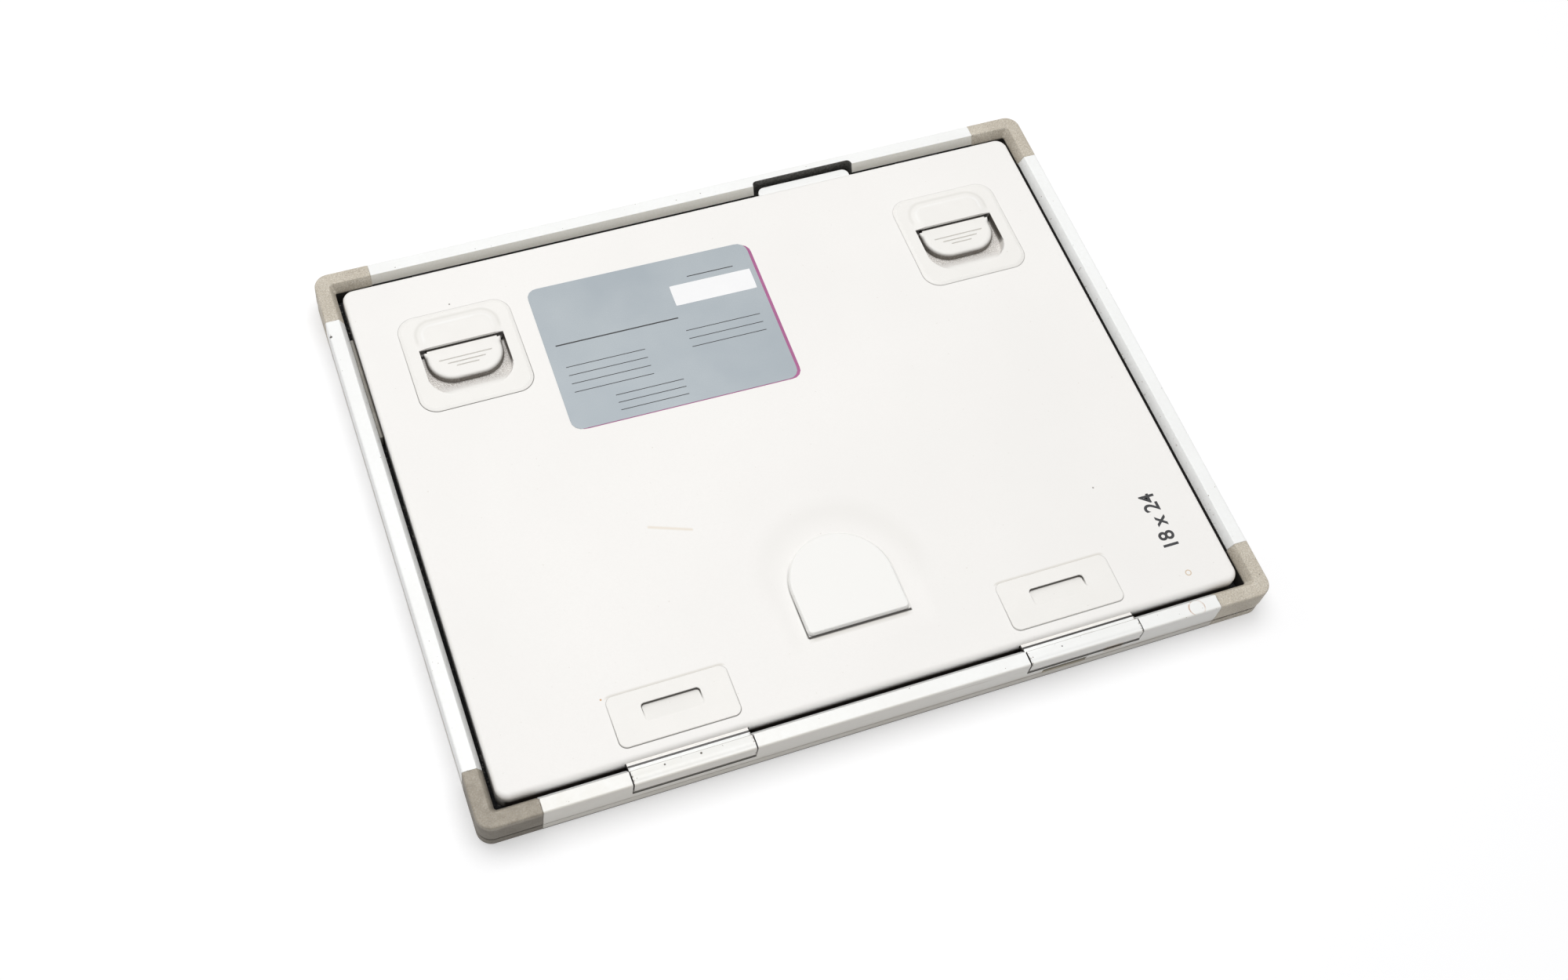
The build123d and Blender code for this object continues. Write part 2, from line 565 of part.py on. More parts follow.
def hinge_pad(side):
    """Cover pad over a hinge, sloping down to the middle of the lid, with a ramped finger grip in it."""
    middle = side * HINGE_OFFSET
    outline = Pos(middle, PAD_Y) * RectangleRounded(HINGE_PAD_LENGTH, HINGE_PAD_WIDTH, HINGE_PAD_RADIUS)
    near = PAD_Y - HINGE_PAD_WIDTH / 2
    far = PAD_Y + HINGE_PAD_WIDTH / 2
    slope = Polygon(
        (near, LID_TOP),
        (near, LID_TOP + HINGE_PAD_RISE),
        (far, LID_TOP + HINGE_PAD_LOW_RISE),
        (far, LID_TOP),
        align=None,
    )
    pad = slab(outline, LID_TOP, HEIGHT) & prism_x(slope, middle, 2 * HINGE_PAD_LENGTH)
    pad += hinge_plug(side)
    top = LID_TOP + HINGE_PAD_RISE
    ramp = Polygon(
        (PAD_Y - GRIP_WIDTH / 2, top),
        (PAD_Y + GRIP_WIDTH / 2, top),
        (PAD_Y + GRIP_WIDTH / 2, top - GRIP_DEPTH),
        align=None,
    )
    grip = Pos(middle, PAD_Y) * RectangleRounded(GRIP_LENGTH, GRIP_WIDTH, GRIP_RADIUS)
    pad -= slab(grip, LID_UNDER, HEIGHT) & prism_x(ramp, middle, GRIP_LENGTH)
    for x in hinge_screw_places(side):
        hole = 2 * HINGE_SCREW_BITE
        pad -= Pos(x, PAD_Y, LID_UNDER) * Cylinder(HINGE_SCREW_RADIUS, hole)
    return pad


def cap_outline(margin):
    """Outline of the cap, grown by a margin: a straight edge towards the hinge and a half circle."""
    half = CAP_HALF_WIDTH + margin
    front = CAP_FRONT - margin
    with BuildSketch() as outline:
        with BuildLine():
            Line((-half, CAP_ARCH), (-half, front))
            Line((-half, front), (half, front))
            Line((half, front), (half, CAP_ARCH))
            RadiusArc((half, CAP_ARCH), (-half, CAP_ARCH), -half)
        make_face()
        fillet(outline.vertices().sort_by(Axis.Y)[:2], CAP_CORNER_RADIUS + margin)
    return outline.sketch


def cap_pressing():
    """Sunken ground round the cap, with sloping sides."""
    floor = LID_TOP - PRESSING_DEPTH
    low = Pos(0, 0, floor) * cap_outline(PRESSING_MARGIN)
    high = Pos(0, 0, LID_TOP) * cap_outline(PRESSING_MARGIN + PRESSING_SLOPE)
    return loft([low, high])


def spring_cap():
    """Cap over the fixing of the pressure spring, tilted up towards the hinge, with a stud below."""
    far = CAP_ARCH + CAP_HALF_WIDTH
    floor = LID_TOP - PRESSING_DEPTH
    slope = Polygon(
        (CAP_FRONT, floor),
        (CAP_FRONT, LID_TOP + CAP_RISE),
        (far, LID_TOP + CAP_LOW_RISE),
        (far, floor),
        align=None,
    )
    cap = slab(cap_outline(0), floor, HEIGHT) & prism_x(slope, 0, 4 * CAP_HALF_WIDTH)
    stud = Pos(0, CAP_ARCH) * Circle(CAP_STUD_RADIUS)
    return cap + slab(stud, LID_UNDER - SPRING_TOP_GAP, floor)


def pressure_spring():
    """Bowed leaf spring between the cap's stud and the inner plate."""
    top = LID_UNDER - SPRING_TOP_GAP
    half = SPRING_LENGTH / 2
    end_top = PLATE_TOP + SPRING_THICKNESS
    rise = top - end_top
    with BuildSketch() as profile:
        with BuildLine():
            ThreePointArc((-half, PLATE_TOP), (0, PLATE_TOP + rise), (half, PLATE_TOP))
            Line((half, PLATE_TOP), (half, end_top))
            ThreePointArc((half, end_top), (0, top), (-half, end_top))
            Line((-half, end_top), (-half, PLATE_TOP))
        make_face()
    return Pos(0, CAP_ARCH, 0) * extrude(Plane.XZ * profile.sketch, SPRING_WIDTH / 2, both=True)


def lid_tab(clearance=0.0):
    """Lifting tab of the lid, which stands in the finger notch."""
    half = NOTCH_WIDTH / 2 - TAB_SIDE_GAP + clearance
    end = HALF_Y - NOTCH_BACK - TAB_BACK_GAP
    tab = block(
        (NOTCH_CENTRE - half, NOTCH_CENTRE + half),
        (LID_Y - TAB_ROOT, end),
        (LID_UNDER - TAB_THICKNESS - clearance, LID_UNDER + clearance),
    )
    outer_corners = tab.edges().filter_by(Axis.Z).sort_by(Axis.Y)[-2:]
    return fillet(outer_corners, TAB_RADIUS)


def plate_screw(place):
    """Countersunk screw from below, through the inner plate into a post of the lid."""
    x, y = PLATE_POSTS[place]
    head = Cone(PLATE_SCREW_HEAD, PLATE_SCREW_RADIUS, PLATE_THICKNESS, align=ON_BASE)
    shank = Cylinder(PLATE_SCREW_RADIUS, PLATE_SCREW_DEPTH, align=ON_BASE)
    return Pos(x, y, PLATE_LOW) * head + Pos(x, y, PLATE_TOP) * shank


def lid_cover():
    """Outer shell of the lid: a pan with its rim down, rounder along the hinge side."""
    outline = RectangleRounded(2 * LID_X, 2 * LID_Y, LID_CORNER_RADIUS)
    shell = slab(outline, RIM_LOW, LID_TOP)
    shell = fillet(top_edges(shell), LID_EDGE_RADIUS)
    with BuildSketch() as hinge_side:
        with Locations((0, (RIM_LOW + LID_TOP) / 2)):
            Rectangle(2 * LID_Y, LID_TOP - RIM_LOW)
        near_top = hinge_side.vertices().group_by(Axis.Y)[-1].sort_by(Axis.X)[0]
        fillet(near_top, LID_HINGE_RADIUS)
    shell &= prism_x(hinge_side.sketch, 0, 2 * HALF_X)
    inside = RectangleRounded(2 * (LID_X - LID_WALL), 2 * (LID_Y - LID_WALL), LID_CORNER_RADIUS - LID_WALL)
    shell -= slab(inside, RIM_LOW, LID_UNDER)
    for x, y in PLATE_POSTS:
        post = Pos(x, y) * Circle(POST_RADIUS)
        bore = Pos(x, y, PLATE_TOP) * Cylinder(PLATE_SCREW_RADIUS, 2 * PLATE_SCREW_DEPTH)
        shell += slab(post, PLATE_TOP, LID_UNDER) - bore
    for side in (-1, 1):
        shell -= tub_body(side, TUB_CLEARANCE)
        shell -= hinge_plug(side, PLUG_CLEARANCE)
        shell -= bolt_slot(side, LID_Y - LID_WALL - OVERRUN, LID_Y + OVERRUN)
        shell -= leaf_slot(side)
    shell -= lid_tab(TAB_SLOT_CLEARANCE) & block(
        (-HALF_X, HALF_X), (LID_Y - LID_WALL, HALF_Y), (RIM_LOW, LID_UNDER)
    )
    shell -= cap_pressing()
    stud = Pos(0, CAP_ARCH) * Circle(CAP_STUD_RADIUS + CAP_STUD_CLEARANCE)
    return shell - slab(stud, LID_UNDER - OVERRUN, LID_TOP)


def leaf_slot(side):
    """Passage of a hinge leaf's arm through the rim of the lid."""
    half = LEAF_LENGTH / 2 + LEAF_SLOT_CLEARANCE
    middle = side * HINGE_OFFSET
    heights = (LEAF_LOW - LEAF_SLOT_CLEARANCE, LID_UNDER)
    return block((middle - half, middle + half), (-LID_Y - OVERRUN, -LID_Y + LID_WALL), heights)


def lid_inner_plate():
    """Stiff plate that closes the lid from below and carries the screen."""
    inset = LID_WALL + PLATE_CLEARANCE
    outline = RectangleRounded(2 * (LID_X - inset), 2 * (LID_Y - inset), LID_CORNER_RADIUS - LID_WALL)
    plate = slab(outline, PLATE_LOW, PLATE_TOP)
    for place in range(len(PLATE_POSTS)):
        plate -= plate_screw(place)
    return plate


def tub_body(side, clearance=0.0):
    """Outside of the tub under a latch bezel."""
    half = TUB_HALF_WIDTH + clearance
    middle = side * LATCH_OFFSET
    y_range = (TUB_FRONT - clearance, TUB_REAR + clearance)
    return block((middle - half, middle + half), y_range, (TUB_LOW, LID_TOP))


def hood_outline(inset):
    """Outline of a bezel's hood, moved in by an inset. It is open towards the hinge."""
    half = HOOD_HALF_WIDTH - inset
    back = HOOD_LENGTH - inset
    with BuildSketch() as outline:
        with Locations((0, back / 2)):
            Rectangle(2 * half, back)
        fillet(outline.vertices().group_by(Axis.Y)[-1], HOOD_RADIUS - inset)
    return outline.sketch


def latch_bezel(side):
    """Bezel of a latch: a flange on the lid, a tub with a finger scoop, and a hood over the thumb piece."""
    middle = side * LATCH_OFFSET
    flange = Pos(middle, BEZEL_CENTRE_Y) * RectangleRounded(BEZEL_SIZE_X, BEZEL_SIZE_Y, BEZEL_RADIUS)
    flange = slab(flange, LID_TOP, BEZEL_TOP)
    flange = chamfer(top_edges(flange), BEZEL_RISE * 0.7)
    hood = slab(Pos(middle, HOOD_Y) * hood_outline(0), BEZEL_TOP, HOOD_TOP)
    rear_rim = top_edges(hood).sort_by(Axis.Y)[1:]
    hood = fillet(rear_rim, HOOD_RISE * 0.8)
    bezel = flange + tub_body(side) + hood

    front = HOOD_Y - SCOOP_LENGTH
    with BuildSketch(Plane.XY) as scoop:
        with Locations((middle, (front + HOOD_Y) / 2)):
            Rectangle(2 * SCOOP_HALF_WIDTH, SCOOP_LENGTH)
        fillet(scoop.vertices().group_by(Axis.Y)[0], SCOOP_RADIUS)
    ramp = Polygon(
        (front, BEZEL_TOP),
        (front + SCOOP_RAMP, SCOOP_LOW),
        (HOOD_Y, SCOOP_LOW),
        (HOOD_Y, BEZEL_TOP),
        align=None,
    )
    bezel -= slab(scoop.sketch, SCOOP_LOW, BEZEL_TOP) & prism_x(ramp, middle, 2 * SCOOP_HALF_WIDTH)
    bezel -= slab(Pos(middle, HOOD_Y) * hood_outline(HOOD_WALL), SCOOP_LOW, HOOD_TOP - HOOD_WALL)
    stem_y = THUMB_REAR + STEM_SETBACK
    half = STEM_HALF_WIDTH + STEM_CLEARANCE
    run = (
        stem_y - STEM_LENGTH / 2 - STEM_CLEARANCE,
        stem_y + STEM_LENGTH / 2 + LATCH_TRAVEL + STEM_CLEARANCE,
    )
    return bezel - block((middle - half, middle + half), run, (TUB_LOW, SCOOP_LOW))


def thumb_piece(side):
    """Thumb piece of a latch, rounded towards the finger, with a tongue under the hood and a stem."""
    middle = side * LATCH_OFFSET
    front = THUMB_REAR - THUMB_LENGTH
    with BuildSketch(Plane.XY) as outline:
        with Locations((middle, (front + THUMB_REAR) / 2)):
            Rectangle(2 * THUMB_HALF_WIDTH, THUMB_LENGTH)
        fillet(outline.vertices().group_by(Axis.Y)[0], THUMB_RADIUS)
        fillet(outline.vertices().group_by(Axis.Y)[-1], THUMB_CORNER_RADIUS)
        with Locations((middle, THUMB_REAR + THUMB_TONGUE_LENGTH / 2)):
            Rectangle(2 * THUMB_TONGUE_HALF_WIDTH, THUMB_TONGUE_LENGTH)
    thumb = slab(outline.sketch, THUMB_LOW, THUMB_TOP)
    for setback, length in THUMB_LINES:
        y = THUMB_REAR - setback
        thumb -= block(
            (middle - length / 2, middle + length / 2),
            (y - THUMB_LINE_WIDTH / 2, y + THUMB_LINE_WIDTH / 2),
            (THUMB_TOP - THUMB_LINE_DEPTH, THUMB_TOP + OVERRUN),
        )
    stem_y = THUMB_REAR + STEM_SETBACK
    thumb += block(
        (middle - STEM_HALF_WIDTH, middle + STEM_HALF_WIDTH),
        (stem_y - STEM_LENGTH / 2, stem_y + STEM_LENGTH / 2),
        (BOLT_HIGH, THUMB_LOW),
    )
    spigot = Pos(middle, stem_y) * Circle(SPIGOT_RADIUS)
    return thumb + slab(spigot, BOLT_LOW, BOLT_HIGH)


def latch_bolt(side):
    """Flat steel bolt on the thumb piece's stem."""
    middle = side * LATCH_OFFSET
    stem_y = THUMB_REAR + STEM_SETBACK
    bolt = block(
        (middle - BOLT_HALF_WIDTH, middle + BOLT_HALF_WIDTH),
        (stem_y - STEM_LENGTH, BOLT_TIP),
        (BOLT_LOW, BOLT_HIGH),
    )
    tip = bolt.edges().filter_by(Axis.Z).sort_by(Axis.Y)[-2:]
    bolt = fillet(tip, BOLT_TIP_RADIUS)
    spigot = Pos(middle, stem_y) * Circle(SPIGOT_RADIUS)
    return bolt - slab(spigot, BOLT_LOW - OVERRUN, BOLT_HIGH + OVERRUN)


def latch_guide(side):
    """Bridge on the inner plate that guides the bolt."""
    middle = side * LATCH_OFFSET
    high = BOLT_HIGH + GUIDE_CLEARANCE
    half = BOLT_HALF_WIDTH + GUIDE_CLEARANCE
    rear = LID_Y - LID_WALL - GUIDE_SETBACK
    y_range = (rear - GUIDE_LENGTH, rear)
    outside = block(
        (middle - half - GUIDE_WALL, middle + half + GUIDE_WALL), y_range, (PLATE_TOP, high + GUIDE_BRIDGE)
    )
    return outside - block((middle - half, middle + half), y_range, (PLATE_TOP, high))


def build():
    """All pieces by name, where they sit with the lid closed and the latches drawn back."""
    rail_ring = frame_ring(RAIL_GROOVE)
    corner_ring = frame_ring(CORNER_GROOVE)
    pieces = {
        "front_rail": front_rail(rail_ring),
        "rear_rail": rear_rail(rail_ring),
        "front_panel": front_panel(),
        "front_screen": front_screen(),
        "id_blocker": id_blocker(),
        "screen_marker": screen_marker(),
        "light_seal_front": light_seal(0, -1),
        "light_seal_rear": light_seal(0, 1),
        "lid_cover": lid_cover(),
        "lid_inner_plate": lid_inner_plate(),
        "lid_tab": lid_tab(),
        "spring_cap": spring_cap(),
        "pressure_spring": pressure_spring(),
        "lead_foil": film_sheet(FOIL_LOW, PLATE_LOW),
        "foam_pad": film_sheet(FOAM_LOW, FOIL_LOW),
        "rear_screen": film_sheet(REAR_SCREEN_LOW, FOAM_LOW),
    }
    for name, side in (("left", -1), ("right", 1)):
        pieces[f"{name}_rail"] = side_rail(rail_ring, side)
        pieces[f"corner_front_{name}"] = corner_piece(corner_ring, side, -1)
        pieces[f"corner_rear_{name}"] = corner_piece(corner_ring, side, 1)
        pieces[f"light_seal_{name}"] = light_seal(side, 0)
        pieces[f"hinge_pin_{name}"] = hinge_pin(side)
        pieces[f"hinge_leaf_{name}"] = hinge_leaf(side)
        pieces[f"hinge_pad_{name}"] = hinge_pad(side)
        pieces[f"hinge_screw_{name}_1"] = hinge_screw(side, 0)
        pieces[f"hinge_screw_{name}_2"] = hinge_screw(side, 1)
        pieces[f"keeper_{name}"] = keeper(side)
        pieces[f"latch_bezel_{name}"] = latch_bezel(side)
        pieces[f"latch_guide_{name}"] = latch_guide(side)
        pieces[f"thumb_piece_{name}"] = thumb_piece(side)
        pieces[f"latch_bolt_{name}"] = latch_bolt(side)
    for place in range(len(PLATE_POSTS)):
        pieces[f"plate_screw_{place + 1}"] = plate_screw(place)
    return pieces


os.makedirs("parts", exist_ok=True)
for node, piece in build().items():
    export_step(piece, f"parts/{node}.step")
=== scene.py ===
"""X-ray film cassette for 18 x 24 cm film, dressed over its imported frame.

Metres in Blender, millimetres in the shape functions. X runs along the long side, the hinge is at -Y, the
latches are at +Y, Z is up. The sections follow the cassette as it is put together.
"""
import math

import bmesh
import bpy
import numpy as np
from mathutils import Matrix, Vector


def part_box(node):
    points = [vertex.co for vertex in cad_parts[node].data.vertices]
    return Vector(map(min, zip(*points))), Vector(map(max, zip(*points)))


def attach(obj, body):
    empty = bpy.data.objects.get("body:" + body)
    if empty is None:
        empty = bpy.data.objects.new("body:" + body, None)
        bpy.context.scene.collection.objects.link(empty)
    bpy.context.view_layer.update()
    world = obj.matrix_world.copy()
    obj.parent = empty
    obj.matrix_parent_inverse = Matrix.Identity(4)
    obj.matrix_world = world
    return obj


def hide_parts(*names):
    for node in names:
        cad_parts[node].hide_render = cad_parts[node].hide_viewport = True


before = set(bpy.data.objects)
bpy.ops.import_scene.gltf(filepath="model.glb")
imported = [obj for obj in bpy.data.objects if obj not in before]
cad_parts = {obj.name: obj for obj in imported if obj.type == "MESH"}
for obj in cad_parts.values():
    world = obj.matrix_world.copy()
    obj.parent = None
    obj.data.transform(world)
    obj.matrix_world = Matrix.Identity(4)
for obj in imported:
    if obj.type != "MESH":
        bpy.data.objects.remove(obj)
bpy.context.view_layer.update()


# --- Studio -------------------------------------------------------------------------------------------
# Camera over the hinge side and a little left of the middle, a white sweep of paper below, and large soft
# lamps overhead. Only camera, mirror and glass rays see the white surround.
camera_data = bpy.data.cameras.new("camera")
camera_data.sensor_width = 36.0
camera_data.lens = 44.864
camera_data.shift_x = 0.06827
camera_data.shift_y = -0.05485
camera = bpy.data.objects.new("camera", camera_data)
bpy.context.collection.objects.link(camera)
CAMERA_RIGHT = (0.942309, -0.32684, 0.072317)
CAMERA_UP = (0.242859, 0.816185, 0.524272)
CAMERA_BACK = (-0.230378, -0.476463, 0.848474)
camera.matrix_world = Matrix.Translation((-0.18031, -0.29233, 0.56911)) @ Matrix(
    (CAMERA_RIGHT, CAMERA_UP, CAMERA_BACK)
).transposed().to_4x4()
bpy.context.scene.camera = camera
bpy.context.scene.view_settings.view_transform = "Standard"


def add(tree, kind, inputs=None, **settings):
    """Adds a shader node. An input is given as a plain value, or as another node's output to link to it."""
    made = tree.nodes.new("ShaderNode" + kind)
    for name, value in settings.items():
        setattr(made, name, value)
    for name, value in (inputs or {}).items():
        if isinstance(value, bpy.types.NodeSocket):
            tree.links.new(value, made.inputs[name])
        else:
            made.inputs[name].default_value = value
    return made


def maths(tree, operation, *values):
    """Result of a maths node on plain values or other nodes' outputs."""
    return add(tree, "Math", dict(enumerate(values)), operation=operation).outputs[0]


def white_surround(tree):
    """One for the rays that should see plain white round the object: camera, glossy and transmission rays."""
    rays = add(tree, "LightPath").outputs
    either = maths(tree, "MAXIMUM", rays["Is Camera Ray"], rays["Is Glossy Ray"])
    return maths(tree, "MAXIMUM", either, rays["Is Transmission Ray"])


AMBIENT = 0.4
world = bpy.data.worlds.new("world")
bpy.context.scene.world = world
world.use_nodes = True
tree = world.node_tree
strength = add(tree, "MapRange", {"Value": white_surround(tree), "To Min": AMBIENT, "To Max": 1.0})
tree.links.new(strength.outputs[0], tree.nodes["Background"].inputs["Strength"])
tree.nodes["Background"].inputs["Color"].default_value = (1.0, 1.0, 1.0, 1.0)


def lamp(name, place, size, power):
    """Square area lamp at a place, turned towards the middle of the cassette."""
    data = bpy.data.lights.new(name, "AREA")
    data.size = size
    data.energy = power
    lamp_object = bpy.data.objects.new(name, data)
    bpy.context.collection.objects.link(lamp_object)
    turn = (-Vector(place)).to_track_quat("-Z", "Y")
    lamp_object.matrix_world = Matrix.Translation(place) @ turn.to_matrix().to_4x4()


lamp("overhead", (-0.01, 0.2, 1.25), size=1.0, power=11.2)
lamp("rear_left", (-0.95, 0.55, 0.7), size=0.5, power=1.2)

PAPER_HALF, PAPER_LOW, PAPER_LIFT = 6.0, -0.00002, 0.34
paper_mesh = bpy.data.meshes.new("paper")
paper_mesh.from_pydata(
    [(x * PAPER_HALF, y * PAPER_HALF, PAPER_LOW) for x, y in ((-1, -1), (1, -1), (1, 1), (-1, 1))],
    [],
    [(0, 1, 2, 3)],
)
paper = bpy.data.objects.new("paper", paper_mesh)
bpy.context.collection.objects.link(paper)
paper_finish = bpy.data.materials.new("white_paper")
paper_finish.use_nodes = True
tree = paper_finish.node_tree
paper_shader = tree.nodes["Principled BSDF"]
paper_shader.inputs["Base Color"].default_value = (0.7, 0.7, 0.705, 1.0)
paper_shader.inputs["Roughness"].default_value = 0.9
paper_shader.inputs["Specular IOR Level"].default_value = 0.0
paper_shader.inputs["Emission Color"].default_value = (1.0, 1.0, 1.0, 1.0)
lift = maths(tree, "MULTIPLY", white_surround(tree), PAPER_LIFT)
tree.links.new(lift, paper_shader.inputs["Emission Strength"])
paper_mesh.materials.append(paper_finish)


# --- Rails --------------------------------------------------------------------------------------------
# Four extruded aluminium rails under white stove enamel. The section has a round shoulder, a parting groove
# low on its side, a bevel down to the lid and a ledge under it. Mitreless: they butt against the corners.
MM = 0.001
SHARP = math.radians(32)
HALF_X, HALF_Y = 133.5, 103.5
CORNER_ARM = 19.5
X, Y, Z = 0, 1, 2


def rail_section(groove_low, groove_high, groove_depth):
    """Section of the frame, as distance in from the outer face, height, and corner radius at that distance.

    The shoulder is a quarter circle; the other points are the folds of the section in order.
    """
    bend = np.radians(np.linspace(0, 90, 13))
    shoulder = np.stack([0.7 - 0.7 * np.cos(bend), 13.3 + 0.7 * np.sin(bend)], 1)
    neck = 0.2 + groove_depth
    low, high = groove_low, groove_high
    outer = np.array([(0.2, 0.0), (0.2, low), (neck, low), (neck, high), (0.2, high), (0.0, 6.2)])
    inner = np.array([(4.7, 14.0), (6.4, 10.8), (6.4, 3.4), (13.0, 3.4), (13.0, 2.0), (2.2, 2.0), (2.2, 0.0)])
    section = np.concatenate([outer, shoulder, inner])
    radius = np.where(section[:, 0] < 4.0, 5.0 - section[:, 0], 0.9)
    radius[section[:, 0] == 4.7] = 1.6
    return section[:, 0], section[:, 1], radius


def new_mesh(name, points, faces):
    """Mesh from points in millimetres, and faces as an array or a list."""
    mesh = bpy.data.meshes.new(name)
    faces = faces.tolist() if isinstance(faces, np.ndarray) else faces
    mesh.from_pydata(np.asarray(points, float) * MM, [], faces)
    return mesh


def new_piece(name, points, faces, body, slot, finish, replaced=()):
    """Piece from millimetre points and faces, riding on a body and standing for the nodes it replaces."""
    return dress(name, new_mesh(name, points, faces), body, finish, replaced)


def dress(name, mesh, body, finish, replaced=()):
    """Object for a finished mesh: doubles merged, smooth up to an angle, with its material and body."""
    tidy_mesh = bmesh.new()
    tidy_mesh.from_mesh(mesh)
    bmesh.ops.remove_doubles(tidy_mesh, verts=tidy_mesh.verts, dist=1e-7)
    tidy_mesh.to_mesh(mesh)
    tidy_mesh.free()
    mesh.shade_smooth()
    mesh.set_sharp_from_angle(angle=SHARP)
    piece = bpy.data.objects.new(name, mesh)
    bpy.context.collection.objects.link(piece)
    mesh.materials.clear()
    mesh.materials.append(finish)
    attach(piece, body)
    if replaced:
        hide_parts(*replaced)
    return piece


def grid_faces(rows, columns):
    """Four-cornered faces of a grid of points, row after row."""
    first = (np.arange(rows - 1)[:, None] * columns + np.arange(columns - 1)).reshape(-1)
    return np.stack([first, first + 1, first + columns + 1, first + columns], 1)


def swept_bar(paths):
    """Points and faces of a section carried along a path, and both its ends.

    Row by row, each path belongs to one fold of the section. The last row joins the first again.
    """
    folds, steps, _ = paths.shape
    closed = np.concatenate([paths, paths[:1]])
    side = grid_faces(folds + 1, steps) % (folds * steps)
    ends = [list(range(0, folds * steps, steps)), list(range(steps - 1, folds * steps, steps))[::-1]]
    return closed[:-1].reshape(-1, 3), side.tolist() + ends


def round_edges(piece, width):
    """Bevels the edges that are sharper than SHARP, with the flat faces kept flat in the shading."""
    bevel = piece.modifiers.new("round_edges", "BEVEL")
    bevel.width = width * MM
    bevel.segments = 2
    bevel.limit_method = "ANGLE"
    bevel.angle_limit = SHARP
    bevel.use_clamp_overlap = False
    bevel.harden_normals = True
    bevel.miter_outer = "MITER_ARC"


def blocks(limits):
    """Points and faces of closed blocks. A block is its limits in X, Y and Z, in millimetres."""
    corner = np.array([(x, y, z) for z in (0, 1) for y in (0, 1) for x in (0, 1)])
    faces = np.array([(0, 2, 3, 1), (4, 5, 7, 6), (0, 1, 5, 4), (2, 6, 7, 3), (0, 4, 6, 2), (1, 3, 7, 5)])
    limits = np.array(limits, float).reshape(-1, 3, 2)
    points = limits[:, None, [0, 1, 2], corner].reshape(-1, 3)
    return points, (faces[None] + 8 * np.arange(len(limits))[:, None, None]).reshape(-1, 4)


def cut_away(piece, name, boxes):
    """Cuts blocks out of a piece."""
    cut_with(piece, name, *blocks(boxes))


def cut_prism(piece, name, plan, axis, low, high):
    """Cuts a prism out of a piece: an outline across an axis, between two places along it."""
    paths = np.empty((len(plan), 2, 3))
    paths[:, :, [other for other in (X, Y, Z) if other != axis]] = np.asarray(plan)[:, None]
    paths[:, :, axis] = (low, high)
    cut_with(piece, name, *swept_bar(paths[::-1]))


def cut_with(piece, name, points, faces):
    """Cuts a closed shape out of a piece with an exact boolean and applies it."""
    cutter = bpy.data.objects.new(name, new_mesh(name, points, faces))
    bpy.context.collection.objects.link(cutter)
    boolean = piece.modifiers.new("cut", "BOOLEAN")
    boolean.operation = "DIFFERENCE"
    boolean.solver = "EXACT"
    boolean.object = cutter
    bpy.context.view_layer.update()
    shape = piece.evaluated_get(bpy.context.evaluated_depsgraph_get())
    result = bpy.data.meshes.new_from_object(shape)
    piece.modifiers.remove(boolean)
    piece.data = result
    bpy.data.objects.remove(cutter)


# A measure or a mask is a function that takes a node tree, adds its nodes and returns their output. Places
# and sizes in them are millimetres on the object. A mask is one where its stain shows in full.
def object_place(tree):
    """Object coordinates, in metres."""
    return add(tree, "TexCoord").outputs["Object"]


def place(axis):
    """One object coordinate."""
    return lambda tree: maths(
        tree, "MULTIPLY", add(tree, "SeparateXYZ", {0: object_place(tree)}).outputs[axis], 1.0 / MM
    )


def away_from(axis, middle, mirrored=False):
    """Distance from a place along an axis, or from the nearer of that place and its mirror image."""

    def measure(tree):
        here = place(axis)(tree)
        if mirrored:
            here = maths(tree, "ABSOLUTE", here)
        return maths(tree, "ABSOLUTE", maths(tree, "SUBTRACT", here, middle))

    return measure


def grain(size, detail=3.0, distortion=0.0):
    """Noise between nought and one, with lumps of a size."""
    noise = {"Scale": 1.0 / (size * MM), "Detail": detail, "Roughness": 0.55, "Distortion": distortion}
    return lambda tree: add(tree, "TexNoise", {"Vector": object_place(tree), **noise}).outputs[0]


def streaky(stretch):
    """Noise drawn out along an axis: its scale is given per metre in X, Y and Z."""

    def measure(tree):
        drawn = add(tree, "VectorMath", {0: object_place(tree), 1: stretch}, operation="MULTIPLY")
        return add(tree, "TexNoise", {"Vector": drawn.outputs[0], "Scale": 1.0, "Detail": 2.0}).outputs[0]

    return measure


def stretched(tree, value, start, end, low=0.0, high=1.0):
    """An output stretched so that start becomes low and end becomes high, held at both."""
    inputs = {"Value": value, "From Min": start, "From Max": end, "To Min": low, "To Max": high}
    return add(tree, "MapRange", inputs, clamp=True).outputs[0]


def ramp(measure, start, end, low=0.0, high=1.0):
    """Mask that is low where a measure is start and high where it is end."""
    return lambda tree: stretched(tree, measure(tree), start, end, low, high)


def between(measure, low, high, soft=0.1):
    """Mask that is one where a measure lies between two values, fading over a soft edge."""

    def mask(tree):
        value = measure(tree)
        rise = stretched(tree, value, low - soft, low + soft)
        return maths(tree, "MULTIPLY", rise, stretched(tree, value, high - soft, high + soft, 1.0, 0.0))

    return mask


def along(axis, *limits):
    """Ramp along an axis."""
    return ramp(place(axis), *limits)


def band(axis, *limits):
    """One between two places along an axis."""
    return between(place(axis), *limits)


def patchy(size, *limits, **noise):
    """Ramp over a grain of a size."""
    return ramp(grain(size, **noise), *limits)


def blend_colours(tree, mask, first, second):
    """First colour where the mask is nought, second where it is one."""
    return add(tree, "Mix", {0: mask, 6: first, 7: second}, data_type="RGBA").outputs[2]


def srgb(levels):
    """Linear colour with alpha, from sRGB levels out of 255."""
    level = np.array(levels) / 255
    linear = np.where(level <= 0.04045, level / 12.92, ((level + 0.055) / 1.055) ** 2.4)
    return (*linear.tolist(), 1.0)


